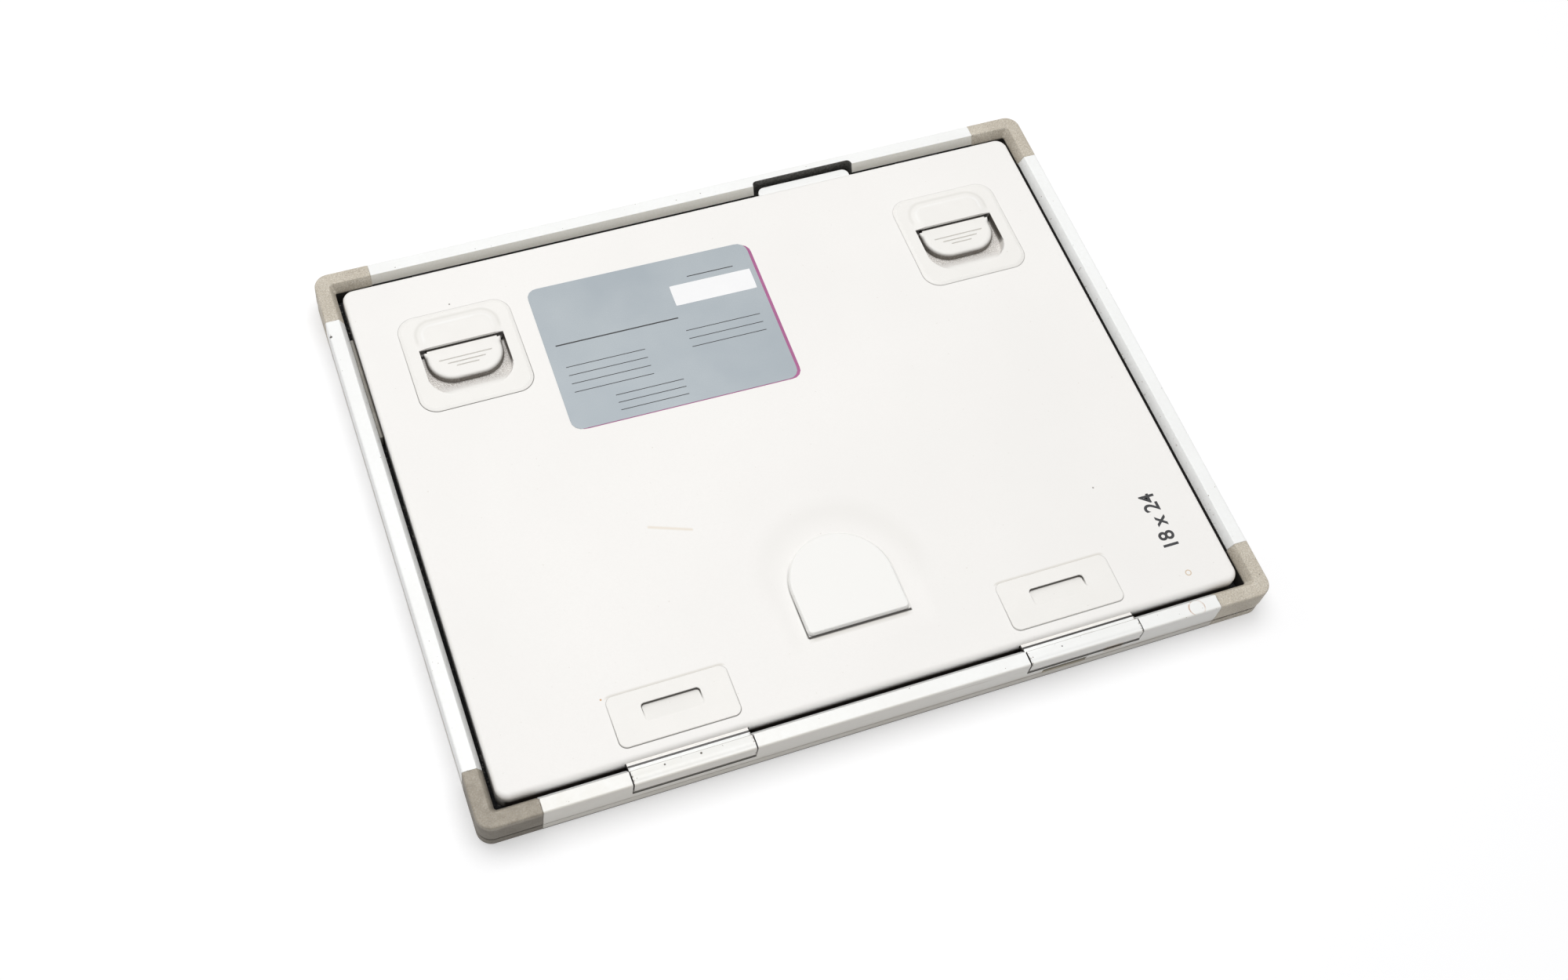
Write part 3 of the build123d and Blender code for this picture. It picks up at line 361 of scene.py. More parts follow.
def coat(name, colour, other, roughness, mottle, fine, relief, specular=0.5, metallic=0.0):
    """Material whose colour wanders between two, in wide patches and in a fine grain, with its own relief.

    The grain also moves the roughness a little. Relief is the height of the fine grain in millimetres.
    """
    material = bpy.data.materials.new(name)
    material.use_nodes = True
    tree = material.node_tree
    shader = tree.nodes["Principled BSDF"]
    colour, other = srgb(colour), srgb(other)
    small = grain(fine, detail=2.0)(tree)
    wide = stretched(tree, patchy(mottle, 0.3, 0.7)(tree), 0.0, 1.0, 0.0, 0.7)
    patches = blend_colours(tree, wide, colour, other)
    grains = blend_colours(tree, stretched(tree, small, 0.35, 0.75, 0.0, 0.45), patches, other)
    tree.links.new(grains, shader.inputs["Base Color"])
    uneven = stretched(tree, small, 0.2, 0.8, roughness - 0.06, roughness + 0.06)
    tree.links.new(uneven, shader.inputs["Roughness"])
    shader.inputs["Specular IOR Level"].default_value = specular
    shader.inputs["Metallic"].default_value = metallic
    bump = add(tree, "Bump", {"Strength": 0.6, "Distance": relief * MM, "Height": small})
    tree.links.new(bump.outputs[0], shader.inputs["Normal"])
    return material


def variant(material, name):
    """Copy of a material under its own name."""
    copy = material.copy()
    copy.name = name
    return copy


def stain(material, colour, *masks, roughness=None):
    """Lays a colour over a material's own where all the masks are one, and roughens it there if asked."""
    tree = material.node_tree
    shader = tree.nodes["Principled BSDF"]
    cover = masks[0](tree)
    for mask in masks[1:]:
        cover = maths(tree, "MULTIPLY", cover, mask(tree))
    under = shader.inputs["Base Color"].links[0].from_socket
    tree.links.new(blend_colours(tree, cover, under, srgb(colour)), shader.inputs["Base Color"])
    if roughness is not None:
        before = shader.inputs["Roughness"].links[0].from_socket
        mix = add(tree, "Mix", {0: cover, 2: before, 3: roughness}, data_type="FLOAT")
        tree.links.new(mix.outputs[0], shader.inputs["Roughness"])


def rim_distance(x, y, half_x, half_y, corner):
    """Distance outside a round-cornered rectangle on the top face, and outside its mirror image in X.

    It is the length of what reaches past the middles of the corners, less their radius.
    """

    def measure(tree):
        parts = add(tree, "SeparateXYZ", {0: object_place(tree)}).outputs
        reach = add(tree, "CombineXYZ", {0: maths(tree, "ABSOLUTE", parts[0]), 1: parts[1]}).outputs[0]
        core = ((half_x - corner) * MM, (half_y - corner) * MM, 0.0)
        for operation, other in (
            ("SUBTRACT", (x * MM, y * MM, 0.0)),
            ("ABSOLUTE", (0.0, 0.0, 0.0)),
            ("SUBTRACT", core),
            ("MAXIMUM", (0.0, 0.0, 0.0)),
        ):
            reach = add(tree, "VectorMath", {0: reach, 1: other}, operation=operation).outputs[0]
        length = add(tree, "VectorMath", {0: reach}, operation="LENGTH").outputs["Value"]
        return maths(tree, "MULTIPLY_ADD", length, 1.0 / MM, -corner)

    return measure


def streak(start, end, width, soft=0.4):
    """One along a straight mark on the top face: near the closest point of a segment."""
    run = np.subtract(end, start) * MM
    length = float(np.hypot(*run))
    direction = (float(run[0]) / length, float(run[1]) / length, 0.0)

    def mask(tree):
        def vectors(operation, first, second):
            return add(tree, "VectorMath", {0: first, 1: second}, operation=operation).outputs

        flat = vectors("MULTIPLY", object_place(tree), (1.0, 1.0, 0.0))[0]
        away = vectors("SUBTRACT", flat, (start[0] * MM, start[1] * MM, 0.0))[0]
        reach = vectors("DOT_PRODUCT", away, direction)["Value"]
        held = add(tree, "Clamp", {"Value": reach, "Min": 0.0, "Max": length}).outputs[0]
        nearest = add(tree, "VectorMath", {0: direction, "Scale": held}, operation="SCALE").outputs[0]
        gap = vectors("DISTANCE", away, nearest)["Value"]
        return stretched(tree, gap, (width + soft) * MM, (width - soft) * MM)

    return mask


def spot(x, y, radius, soft, hole=0.0):
    """One inside a round mark on the top face; with a hole it is a ring."""

    def mask(tree):
        scale = (1.0 / MM, 1.0 / MM, 0.0)
        here = add(tree, "VectorMath", {0: object_place(tree), 1: scale}, operation="MULTIPLY").outputs[0]
        away = add(tree, "VectorMath", {0: here, 1: (x, y, 0.0)}, operation="DISTANCE").outputs["Value"]
        inside = stretched(tree, away, radius - soft, radius + soft, 1.0, 0.0)
        if not hole:
            return inside
        return maths(tree, "MULTIPLY", inside, stretched(tree, away, hole - soft, hole + soft))

    return mask


def below(measure, limit):
    """One where a measure is less than a limit."""
    return lambda tree: maths(tree, "LESS_THAN", measure(tree), limit)


def well(top, soft):
    """Masks that are one together on what faces the well between frame and lid, below a height."""
    return along(Z, top + soft, top - soft), below(away_from(X, 0.0), 127.2), below(away_from(Y, 0.0), 97.2)


HINGE_X, HINGE_HALF, PIN_Y, PIN_Z, DRUM = 65.9, 20.0, -101.3, 11.2, 3.45
NOTCH_X, NOTCH_HALF, NOTCH_FAR, NOTCH_DEEP, NOTCH_ROUND = 46.4, 19.15, 100.6, 10.0, 1.6
LATCH_X, BOLT_HALF, BOLT_LEVELS = 91.5, 6.4, (7.2, 9.1)
RAIL_END = HALF_X - CORNER_ARM
enamel = coat(
    "white_enamel", (246, 247, 246), (238, 238, 236), roughness=0.34, mottle=30.0, fine=1.4, relief=0.012
)
groove, low_side_shade = band(Z, 3.3, 4.3, 0.25), along(Z, 6.6, 4.4)
stain(enamel, (120, 110, 98), groove, patchy(6.0, 0.3, 0.6, 0.35, 0.9), roughness=0.7)
# Painted shade: the lower part of the rails' sides is darkened, in patches.
stain(enamel, (188, 182, 172), low_side_shade, patchy(9.0, 0.35, 0.65, 0.45, 0.75), roughness=0.6)
stain(enamel, (112, 98, 84), patchy(0.9, 0.79, 0.81, detail=1.0))
scuffs = ramp(streaky((60.0, 900.0, 900.0)), 0.66, 0.72, 0.0, 0.5)
stain(enamel, (150, 138, 124), scuffs, along(Z, 13.4, 12.6))
ring = spot(106.0, -101.2, 2.85, 0.15, hole=2.5)
stain(enamel, (186, 144, 112), ring, patchy(1.6, 0.4, 0.6, 0.25, 1.0), along(Z, 13.6, 14.0))
stain(enamel, (70, 64, 58), spot(-133.0, 77.8, 0.45, 0.15))
stain(enamel, (176, 156, 132), streak((74.0, -103.5), (79.0, -103.5), 0.8), band(Z, 6.0, 9.5, 1.0))
stain(enamel, (20, 18, 17), *well(10.72, 0.06), roughness=0.9)
# Painted shade, broken by a fine grain, on the rear rail's inner bevel, except beside the notch.
rear_bevel_shade = band(Y, 96.9, 98.75, 0.05), band(Z, 10.8, 14.2, 0.05)
beside_notch = ramp(away_from(X, NOTCH_X), 19.2, 19.3)
stain(enamel, (222, 219, 210), *rear_bevel_shade, beside_notch, patchy(0.7, 0.3, 0.7, 0.75, 1.0))
notch_away = rim_distance(NOTCH_X, NOTCH_FAR - NOTCH_DEEP, NOTCH_HALF, NOTCH_DEEP, NOTCH_ROUND)
right_half = along(X, 20.0, 21.0)
# Painted shade in the notch: its walls are darkened and its floor is near black.
notch_wall_shade = between(notch_away, -0.1, 0.1, 0.03), right_half, band(Z, 8.0, 14.78, 0.05)
stain(enamel, (58, 56, 50), *notch_wall_shade, patchy(0.7, 0.3, 0.7, 0.85, 1.0))
notch_floor_shade = ramp(notch_away, 0.1, -0.1), right_half, band(Z, 8.2, 8.9, 0.05)
stain(enamel, (26, 24, 22), *notch_floor_shade, roughness=0.9)
front_face, front_top = along(Y, -102.8, -103.2), along(Y, -98.0, -98.6)
# Painted shade on the hinge rail's front face, stronger to the left.
stain(enamel, (218, 212, 202), front_face, along(X, 100.0, -80.0, 0.35, 0.85))
to_left = along(X, 20.0, -112.0, 0.1, 0.75)
stain(enamel, (232, 229, 221), front_top, to_left, patchy(5.0, 0.3, 0.7, 0.5, 1.0))
# Painted shade: a dark line on the front face under each leaf.
by_leaf = ramp(away_from(X, HINGE_X, mirrored=True), HINGE_HALF + 0.1, HINGE_HALF - 0.1)
stain(enamel, (40, 36, 32), by_leaf, band(Z, 7.3, 7.82, 0.06), front_face, roughness=0.9)
# Painted shadow along the foot of the front face, where it stands on the paper.
stain(enamel, (96, 90, 82), front_face, along(Z, 0.9, 0.3))
at_joint = between(away_from(X, 0.0), RAIL_END - 0.22, RAIL_END + 0.2, 0.06)
stain(enamel, (112, 100, 86), at_joint, along(Y, -98.2, -98.8), patchy(2.0, 0.35, 0.6, 0.3, 0.9))

offset, level, _ = rail_section(3.6, 3.9, 0.2)
halves = (HALF_X, HALF_Y)
rails = {}
for name, across, side in (("left", X, -1), ("right", X, 1), ("front", Y, -1), ("rear", Y, 1)):
    length = 1 - across
    reach = halves[length] - CORNER_ARM
    turn = side if across == X else -side
    paths = np.empty((len(offset), 2, 3))
    paths[:, :, across] = (side * (halves[across] - offset))[:, None]
    paths[:, :, length] = turn * np.array([-reach, reach])
    paths[:, :, Z] = level[:, None]
    node = f"{name}_rail"
    rails[name] = new_piece(f"{node}_bar", *swept_bar(paths), "base", "white_paint", enamel, [node])

circle = np.radians(np.linspace(0, 360, 49))[:-1]
drum = np.stack([PIN_Y + DRUM * np.cos(circle), PIN_Z + DRUM * np.sin(circle)], 1)
for hinge in (-HINGE_X, HINGE_X):
    ends = (hinge - HINGE_HALF, hinge + HINGE_HALF)
    cut_away(rails["front"], "leaf_pocket", [(*ends, -105.0, -95.0, 9.9, 16.0)])
    cut_away(rails["front"], "leaf_sill", [(*ends, -105.0, PIN_Y, 7.8, 9.95)])
    cut_prism(rails["front"], "leaf_drum", drum, X, *ends)
cut_away(rails["front"], "marker_pocket", [(52.0, 67.4, -105.0, -102.15, 3.2, 6.5)])


def arched(half, near, far, corner, steps):
    """Outline of a rectangle whose two far corners are round, starting at the near edge."""
    bend = np.radians(np.linspace(0, 90, steps))
    arc = np.stack([np.cos(bend), np.sin(bend)], 1) * corner + (half - corner, far - corner)
    return np.concatenate([[(-half, near), (half, near)], arc, arc[::-1] * (-1, 1)])


notch = arched(NOTCH_HALF, 95.0, NOTCH_FAR, NOTCH_ROUND, 7) + (NOTCH_X, 0)
cut_prism(rails["rear"], "notch", notch, Z, 8.5, 16.0)
for latch in (-LATCH_X, LATCH_X):
    cut_away(rails["rear"], "keeper_seat", [(latch - 8.45, latch + 8.45, 96.5, 97.75, 6.15, 10.15)])
    cut_away(rails["rear"], "bolt_slot", [(latch - BOLT_HALF, latch + BOLT_HALF, 97.0, 101.0, *BOLT_LEVELS)])
for rail in rails.values():
    round_edges(rail, 0.12)


# --- Corner pieces ------------------------------------------------------------------------------------
# Four moulded corners in warm grey plastic, pushed into the rails' ends. Their outside is grained by
# handling, the parting groove is deeper than on the rails.
corner_grey = coat(
    "corner_plastic_grained", (207, 199, 184), (176, 166, 150), roughness=0.62, mottle=9.0, fine=0.55,
    relief=0.05, specular=0.35
)
stain(corner_grey, (92, 85, 76), band(Z, 3.2, 4.3, 0.2), patchy(4.0, 0.3, 0.6, 0.5, 1.0))
stain(corner_grey, (224, 220, 211), patchy(0.5, 0.5, 0.62, 0.0, 0.5, detail=2.0))
stain(corner_grey, (138, 129, 117), patchy(0.45, 0.46, 0.36, 0.0, 0.45, detail=2.0, distortion=0.5))
stain(corner_grey, (84, 76, 68), patchy(1.1, 0.79, 0.81, detail=1.0))
front_left = along(X, -112.0, -114.0), along(Y, -82.0, -84.0)
stain(corner_grey, (130, 122, 110), *front_left, patchy(3.0, 0.3, 0.7, 0.45, 0.75))
stain(corner_grey, (84, 80, 74), *front_left, along(Z, 12.6, 11.4, 0.0, 0.5))
stain(corner_grey, (30, 27, 24), *well(10.3, 0.4), roughness=0.9)

offset, level, corner_radius = rail_section(3.5, 4.0, 0.6)
quarter = np.radians(np.linspace(0, 90, 15))
for name, side_x, side_y in (
    ("corner_front_left", -1, -1),
    ("corner_front_right", 1, -1),
    ("corner_rear_left", -1, 1),
    ("corner_rear_right", 1, 1),
):
    middle_x = HALF_X - offset - corner_radius
    middle_y = HALF_Y - offset - corner_radius
    paths = np.empty((len(offset), len(quarter) + 2, 3))
    paths[:, 0, X] = HALF_X - offset
    paths[:, 0, Y] = HALF_Y - CORNER_ARM
    paths[:, 1:-1, X] = middle_x[:, None] + corner_radius[:, None] * np.cos(quarter)
    paths[:, 1:-1, Y] = middle_y[:, None] + corner_radius[:, None] * np.sin(quarter)
    paths[:, -1, X] = HALF_X - CORNER_ARM
    paths[:, -1, Y] = HALF_Y - offset
    paths[:, :, Z] = level[:, None]
    paths *= (side_x, side_y, 1)
    if side_x * side_y < 0:
        paths = paths[:, ::-1]
    corner = new_piece(name + "_cap", *swept_bar(paths), "base", "corner_plastic", corner_grey, [name])
    round_edges(corner, 0.22)


# --- Rail fittings ------------------------------------------------------------------------------------
# Pins and keepers of bright steel, let into the rails, and the marker that tells which screens are inside:
# a dark olive strip over a beige one, a hair below the face of the hinge rail.
steel = coat(
    "bright_steel_drawn", (190, 190, 192), (160, 160, 163), roughness=0.3, mottle=8.0, fine=0.3,
    relief=0.004, metallic=1.0
)


def refinish(finish, *nodes):
    """Gives CAD nodes their finish on every material slot."""
    for node in nodes:
        for material_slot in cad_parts[node].material_slots:
            material_slot.material = finish


refinish(steel, "hinge_pin_left", "hinge_pin_right", "keeper_left", "keeper_right")
marker_finish = coat(
    "marker_olive", (98, 92, 70), (72, 66, 48), roughness=0.5, mottle=5.0, fine=0.5, relief=0.01
)
stain(marker_finish, (196, 184, 158), band(Z, 2.0, 3.9, 0.12))


def rim_numbers(shape):
    """Numbers of the points on a grid's rim, in turn."""
    number = np.arange(shape[0] * shape[1]).reshape(shape)
    return np.concatenate([number[0, :-1], number[:-1, -1], number[-1, :0:-1], number[:0:-1, 0]])


def rounded_grid(half_x, half_y, near_corner, far_corner, steps_x, steps_y):
    """Grid over a rectangle with round corners, and where its rim is.

    A corner's square patch is drawn into a quarter disc: each place along an axis is kept, times the root of
    one less half the square of the place along the other. Steps run from -1 to 1 along each axis. Returned
    are the places, the numbers of the rim's points in turn, and the outward direction at each of them.
    """
    flat_x, flat_y = np.meshgrid(np.asarray(steps_x) * half_x, np.asarray(steps_y) * half_y)
    corner = np.where(flat_y < 0, near_corner, far_corner)
    past_x = np.clip((np.abs(flat_x) - half_x) / corner + 1, 0, 1)
    past_y = np.clip((np.abs(flat_y) - half_y) / corner + 1, 0, 1)
    drawn_x = past_x * np.sqrt(1 - past_y**2 / 2)
    drawn_y = past_y * np.sqrt(1 - past_x**2 / 2)
    x = flat_x + np.sign(flat_x) * (drawn_x - past_x) * corner
    y = flat_y + np.sign(flat_y) * (drawn_y - past_y) * corner
    rim = rim_numbers(x.shape)
    out = np.stack([np.sign(flat_x) * drawn_x, np.sign(flat_y) * drawn_y], -1).reshape(-1, 2)[rim]
    return x, y, rim, out


def shell(x, y, rim, out, top, bottom, stand, height):
    """Points and faces of a closed plate: a grid at its top heights, the same grid turned over at its bottom
    heights, and between the rims a skirt. Each ring of the skirt stands out from the rim by a distance, at a
    height, both given per ring or per ring and rim point."""
    rows, columns = x.shape
    rings, around = len(stand), len(rim)
    upper = np.stack([x, y, top + 0 * x], -1).reshape(-1, 3)
    lower = np.stack([x, y, bottom + 0 * x], -1).reshape(-1, 3)
    skirt = np.empty((rings, around, 3))
    stand = np.broadcast_to(np.reshape(stand, (rings, -1)), (rings, around))
    skirt[:, :, :2] = upper[rim, :2] + stand[:, :, None] * out
    skirt[:, :, 2] = np.broadcast_to(np.reshape(height, (rings, -1)), (rings, around))
    points = np.concatenate([upper, skirt.reshape(-1, 3), lower])
    ring = rows * columns + np.arange(rings * around).reshape(rings, around)
    loops = np.concatenate([rim[None], ring, rim[None] + rows * columns + rings * around])
    loops = np.concatenate([loops, loops[:, :1]], 1)
    walls = np.stack([loops[:-1, :-1], loops[1:, :-1], loops[1:, 1:], loops[:-1, 1:]], -1).reshape(-1, 4)
    faces = grid_faces(rows, columns)
    turned = faces[:, ::-1] + rows * columns + rings * around
    return points, np.concatenate([faces, walls, turned])


def swell(value):
    """Smooth step: nought below nought, one above one, three squares less two cubes between."""
    value = np.clip(value, 0, 1)
    return value * value * (3 - 2 * value)


def even(half, step):
    """Steps from -1 to 1 that are about one step long on a length of twice the half."""
    return np.linspace(-1, 1, int(round(2 * half / step)) + 1)


def slab_piece(name, dressing, middle, half, corner, edge, step, top, bottom):
    """Flat plate with round corners and a rounded upper edge, as a closed shell, placed by its middle."""
    radius = max(corner - edge, 0.05)
    steps = even(half[0], step), even(half[1], step)
    grid = rounded_grid(half[0] - edge, half[1] - edge, radius, radius, *steps)
    bend = np.radians(np.linspace(0, 90, 5))[1:]
    stand = np.concatenate([edge * np.sin(bend), [edge]])
    height = np.concatenate([top - edge + edge * np.cos(bend), [bottom]])
    points, faces = shell(*grid, top, bottom, stand, height)
    return new_piece(name, points + (*middle, 0), faces, *dressing)


def copy_of(node, name, body, finish):
    """Copy of a CAD node with its triangles merged into flat faces."""
    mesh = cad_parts[node].data.copy()
    merged = bmesh.new()
    merged.from_mesh(mesh)
    bmesh.ops.remove_doubles(merged, verts=merged.verts, dist=2e-6)
    bmesh.ops.dissolve_limit(merged, angle_limit=math.radians(0.6), verts=merged.verts, edges=merged.edges)
    merged.to_mesh(mesh)
    merged.free()
    mesh.name = name
    return dress(name, mesh, body, finish, [node])


round_edges(copy_of("screen_marker", "screen_marker_bar", "base", marker_finish), 0.12)


# --- Tube side: panel, screen, blocker and light seals --------------------------------------------------
# Carbon-filled panel in the rebate under the frame, the front screen on it with a lead strip in one corner,
# and black felt round the ledge that keeps light out.
panel_finish = coat(
    "panel_dark", (74, 75, 78), (60, 61, 64), roughness=0.48, mottle=18.0, fine=0.5, relief=0.02
)
stain(panel_finish, (112, 112, 114), ramp(streaky((900.0, 35.0, 35.0)), 0.62, 0.72, 0.0, 0.5))
slab_piece(
    "tube_side_panel",
    ("base", "panel_plastic", panel_finish, ["front_panel"]),
    middle=(0.0, 0.0),
    half=(131.2, 101.2),
    corner=2.7,
    edge=0.2,
    step=20.0,
    top=2.0,
    bottom=0.4,
)

screen_finish = coat(
    "screen_white", (240, 240, 232), (232, 232, 222), roughness=0.3, mottle=40.0, fine=0.35, relief=0.004
)
stain(screen_finish, (176, 170, 152), patchy(1.3, 0.76, 0.79, 0.0, 0.5, detail=1.0))
refinish(screen_finish, "front_screen", "rear_screen")

lead_finish = coat(
    "lead_dull", (120, 122, 126), (92, 94, 99), roughness=0.6, mottle=7.0, fine=0.7, relief=0.03,
    metallic=0.6
)
refinish(lead_finish, "id_blocker", "lead_foil")

felt = coat(
    "black_felt_fibres", (38, 38, 40), (20, 20, 21), roughness=0.95, mottle=3.0, fine=0.25, relief=0.15,
    specular=0.1
)
felt.node_tree.nodes["Principled BSDF"].inputs["Sheen Weight"].default_value = 0.35
dust = patchy(0.7, 0.56, 0.70, detail=2.0), patchy(14.0, 0.35, 0.6)
stain(felt, (150, 146, 138), *dust, along(X, -118.0, -124.0, 0.25, 0.9))


def felt_strip(name, middle, half, low, high):
    """Strip of felt, its top bowed up across the width and uneven along it.

    The height is the full height less 0.3 times the square of the place across, plus two sines along.
    """
    steps = even(half[0], 1.0), even(half[1], 1.0)
    x, y, rim, out = rounded_grid(half[0] - 0.3, half[1] - 0.3, 0.1, 0.1, *steps)
    across = np.where(half[0] > half[1], y / half[1], x / half[0])
    run = x + y
    wave = 0.04 * np.sin(run * 1.1) + 0.03 * np.sin(run * 2.7 + 1.3) - 0.07
    top = high - 0.3 * across**2 + wave
    edge = top.reshape(-1)[rim]
    stand = np.array([0.2, 0.3, 0.3])
    height = np.stack([edge - 0.08, edge - 0.35, 0 * edge + low + 0.1])
    points, faces = shell(x, y, rim, out, top, low, stand, height)
    strip = new_piece(name + "_strip", points + (*middle, 0), faces, "base", "black_felt", felt, [name])


SEAL_OUT, SEAL_WIDTH, SEAL_LOW, SEAL_HIGH = 6.7, 4.0, 3.4, 5.2
seal_x, seal_y = HALF_X - SEAL_OUT - SEAL_WIDTH / 2, HALF_Y - SEAL_OUT - SEAL_WIDTH / 2
for side, name in ((-1, "light_seal_left"), (1, "light_seal_right")):
    felt_strip(name, (side * seal_x, 0.0), (SEAL_WIDTH / 2, HALF_Y - SEAL_OUT), SEAL_LOW, SEAL_HIGH)
for side, name in ((-1, "light_seal_front"), (1, "light_seal_rear")):
    half = (HALF_X - SEAL_OUT - SEAL_WIDTH, SEAL_WIDTH / 2)
    felt_strip(name, (0.0, side * seal_y), half, SEAL_LOW, SEAL_HIGH)

strip_finish = coat(
    "well_strip_grey", (150, 147, 139), (116, 113, 106), roughness=0.9, mottle=5.0, fine=0.4, relief=0.05
)
stain(strip_finish, (70, 66, 60), along(X, -126.3, -125.9))
well_strip = slab_piece(
    "well_strip_left",
    ("base", "black_felt", strip_finish),
    middle=(-126.33, 57.0),
    half=(0.67, 20.0),
    corner=0.2,
    edge=0.1,
    step=1.0,
    top=10.4,
    bottom=5.3,
)


# --- Lid cover ----------------------------------------------------------------------------------------
# Deep-drawn cover in satin off-white enamel. The hinge edge is rounder than the others, and the ground round
# the cap is pressed in and fades out. Bezels, pads and cap have a dark line of painted shade where they stand
# on it, and the cap has painted shadow under its straight edge.
LID_X, LID_Y = 125.5, 95.5
LID_TOP, LID_UNDER, RIM_LOW = 12.8, 11.6, 5.5
LID_RIM, LID_EDGE, LID_HINGE_EDGE = 2.5, 1.3, 1.9
CAP_HALF, CAP_FRONT, CAP_ARCH = 17.5, -73.1, -57.8
BEZEL_Y, FLANGE_X, FLANGE_Y, FLANGE_CORNER = 59.0, 19.65, 19.2, 6.0
PAD_Y, PAD_HALF_X, PAD_HALF_Y, PAD_CORNER = -82.45, 19.65, 8.65, 2.5

lid_enamel = coat(
    "lid_enamel_satin", (243, 241, 238), (238, 236, 233), roughness=0.5, mottle=60.0, fine=0.5, relief=0.012,
    specular=0.4
)
stain(lid_enamel, (196, 186, 172), patchy(1.0, 0.79, 0.81, 0.0, 0.35, detail=1.0))
stain(lid_enamel, (205, 180, 150), spot(109.7, -88.5, 1.05, 0.12, hole=0.75))
stain(lid_enamel, (226, 214, 196), streak((-53.3, -21.5), (-40.3, -26.3), 0.25, 0.5))
stain(lid_enamel, (200, 150, 96), spot(-86.6, -73.8, 0.3, 0.1))
stain(lid_enamel, (150, 146, 140), spot(-91.2, 80.4, 0.3, 0.12))
stain(lid_enamel, (150, 146, 140), spot(93.2, -50.5, 0.3, 0.12))
bezel_away = rim_distance(LATCH_X, BEZEL_Y, FLANGE_X, FLANGE_Y, FLANGE_CORNER)
pad_away = rim_distance(HINGE_X, PAD_Y, PAD_HALF_X, PAD_HALF_Y, PAD_CORNER)
# Painted shade: a dark line round the foot of each bezel and pad, weaker behind and to the right.
less_right = along(X, -100.0, 115.0, 1.0, 0.6)
for away, middle, half in ((bezel_away, BEZEL_Y, FLANGE_Y), (pad_away, PAD_Y, PAD_HALF_Y)):
    less_behind = along(Y, middle - half, middle + half, 1.0, 0.35)
    stain(lid_enamel, (74, 70, 64), between(away, -0.2, 0.22, 0.12), less_behind, less_right)
# Painted shade on the lid along the far edge of each pad.
stain(lid_enamel, (214, 210, 202), band(Y, -73.9, -73.2, 0.5), between(pad_away, -1.0, 0.9, 0.3))
# Painted shade low on the rim's wall, down in the gap round the lid.
stain(lid_enamel, (190, 186, 178), band(Z, 5.0, 8.0, 1.2), band(Y, -96.0, 96.0))


def cap_away(tree):
    """Distance from the middle of the cap's arch, and from the cap's middle line before it."""
    past_arch = maths(tree, "MAXIMUM", maths(tree, "SUBTRACT", place(Y)(tree), CAP_ARCH), 0.0)
    reach = add(tree, "CombineXYZ", {0: place(X)(tree), 1: past_arch}).outputs[0]
    return add(tree, "VectorMath", {0: reach}, operation="LENGTH").outputs["Value"]


# Painted shade along the cap's sides, strongest at the left and near the hinge; under its straight edge a
# band of painted shadow and a dark line of painted shade.
cap_side_shade = between(cap_away, 17.3, 17.9, 0.2), band(Y, -73.6, -44.0), along(Y, -64.0, -46.0, 1.0, 0.0)
stain(lid_enamel, (66, 62, 58), *cap_side_shade, along(X, -14.0, 10.0, 1.0, 0.15))
stain(lid_enamel, (204, 200, 194), band(X, -17.0, 16.6, 1.2), band(Y, -74.6, -73.0, 0.9))
stain(lid_enamel, (46, 42, 38), band(X, -17.6, 17.7, 0.15), band(Y, -73.85, -73.0, 0.2))
# Painted shade down the hinge-side wall of the rim, into the gap.
stain(lid_enamel, (70, 62, 54), along(Y, -94.6, -95.2), along(Z, 10.6, 8.8))
# Painted shade on the outer slope of the pressing round the cap, stronger to the right.
pressing = between(cap_away, 22.0, 29.0, 2.5), along(Y, -66.0, -52.0)
stain(lid_enamel, (232, 230, 226), *pressing, along(X, -30.0, 20.0, 0.15, 0.5))


def cap_distance(x, y):
    """Distance outside the cap: from its half circle beyond the arch's middle, from its sides before it."""
    round_part = np.hypot(x, y - CAP_ARCH) - CAP_HALF
    straight_part = np.maximum(np.abs(x) - CAP_HALF, CAP_FRONT - y)
    return np.where(y > CAP_ARCH, round_part, straight_part)


def lid_heights(x, y):
    """Height of the lid's top: flat, less the pressing round the cap, which is 0.5 deep and fades out."""
    reach = 6.0 + 4.5 * swell((y - CAP_ARCH) / 14.0)
    pressed = 0.5 * (1 - swell((cap_distance(x, y) - 1.8) / reach)) * swell((y + 84.0) / 11.0)
    return LID_TOP - pressed


corner_steps = np.linspace(0.12, 1.4, 6)
steps_x = np.sort(np.concatenate([even(LID_X, 1.0), 1 - corner_steps / LID_X, corner_steps / LID_X - 1]))
steps_y = np.sort(np.concatenate([even(LID_Y, 1.0), 1 - corner_steps / LID_Y, corner_steps / LID_Y - 1]))
x, y, rim, out = rounded_grid(LID_X - LID_RIM, LID_Y - LID_RIM, 1.5, 1.5, steps_x, steps_y)
bend = np.radians(np.linspace(0, 90, 9))[1:]
edge = LID_EDGE + (LID_HINGE_EDGE - LID_EDGE) * swell(-out[:, 1])
stand = LID_RIM - edge + edge * np.sin(bend)[:, None]
height = LID_TOP - edge + edge * np.cos(bend)[:, None]
inner_face = LID_RIM - 1.2
fold_stand = np.array([LID_RIM, LID_RIM - 0.4, LID_RIM - 0.8, inner_face, inner_face])
fold_height = np.array([RIM_LOW + 0.3, RIM_LOW, RIM_LOW, RIM_LOW + 0.3, LID_UNDER])
around = np.ones(len(rim))
stand = np.concatenate([[LID_RIM - edge], stand, fold_stand[:, None] * around])
height = np.concatenate([[LID_TOP + 0 * around], height, fold_height[:, None] * around])
points, faces = shell(x, y, rim, out, lid_heights(x, y), LID_UNDER, stand, height)
lid = new_piece("lid_cover_shell", points, faces, "lid", "white_paint", lid_enamel, ["lid_cover"])

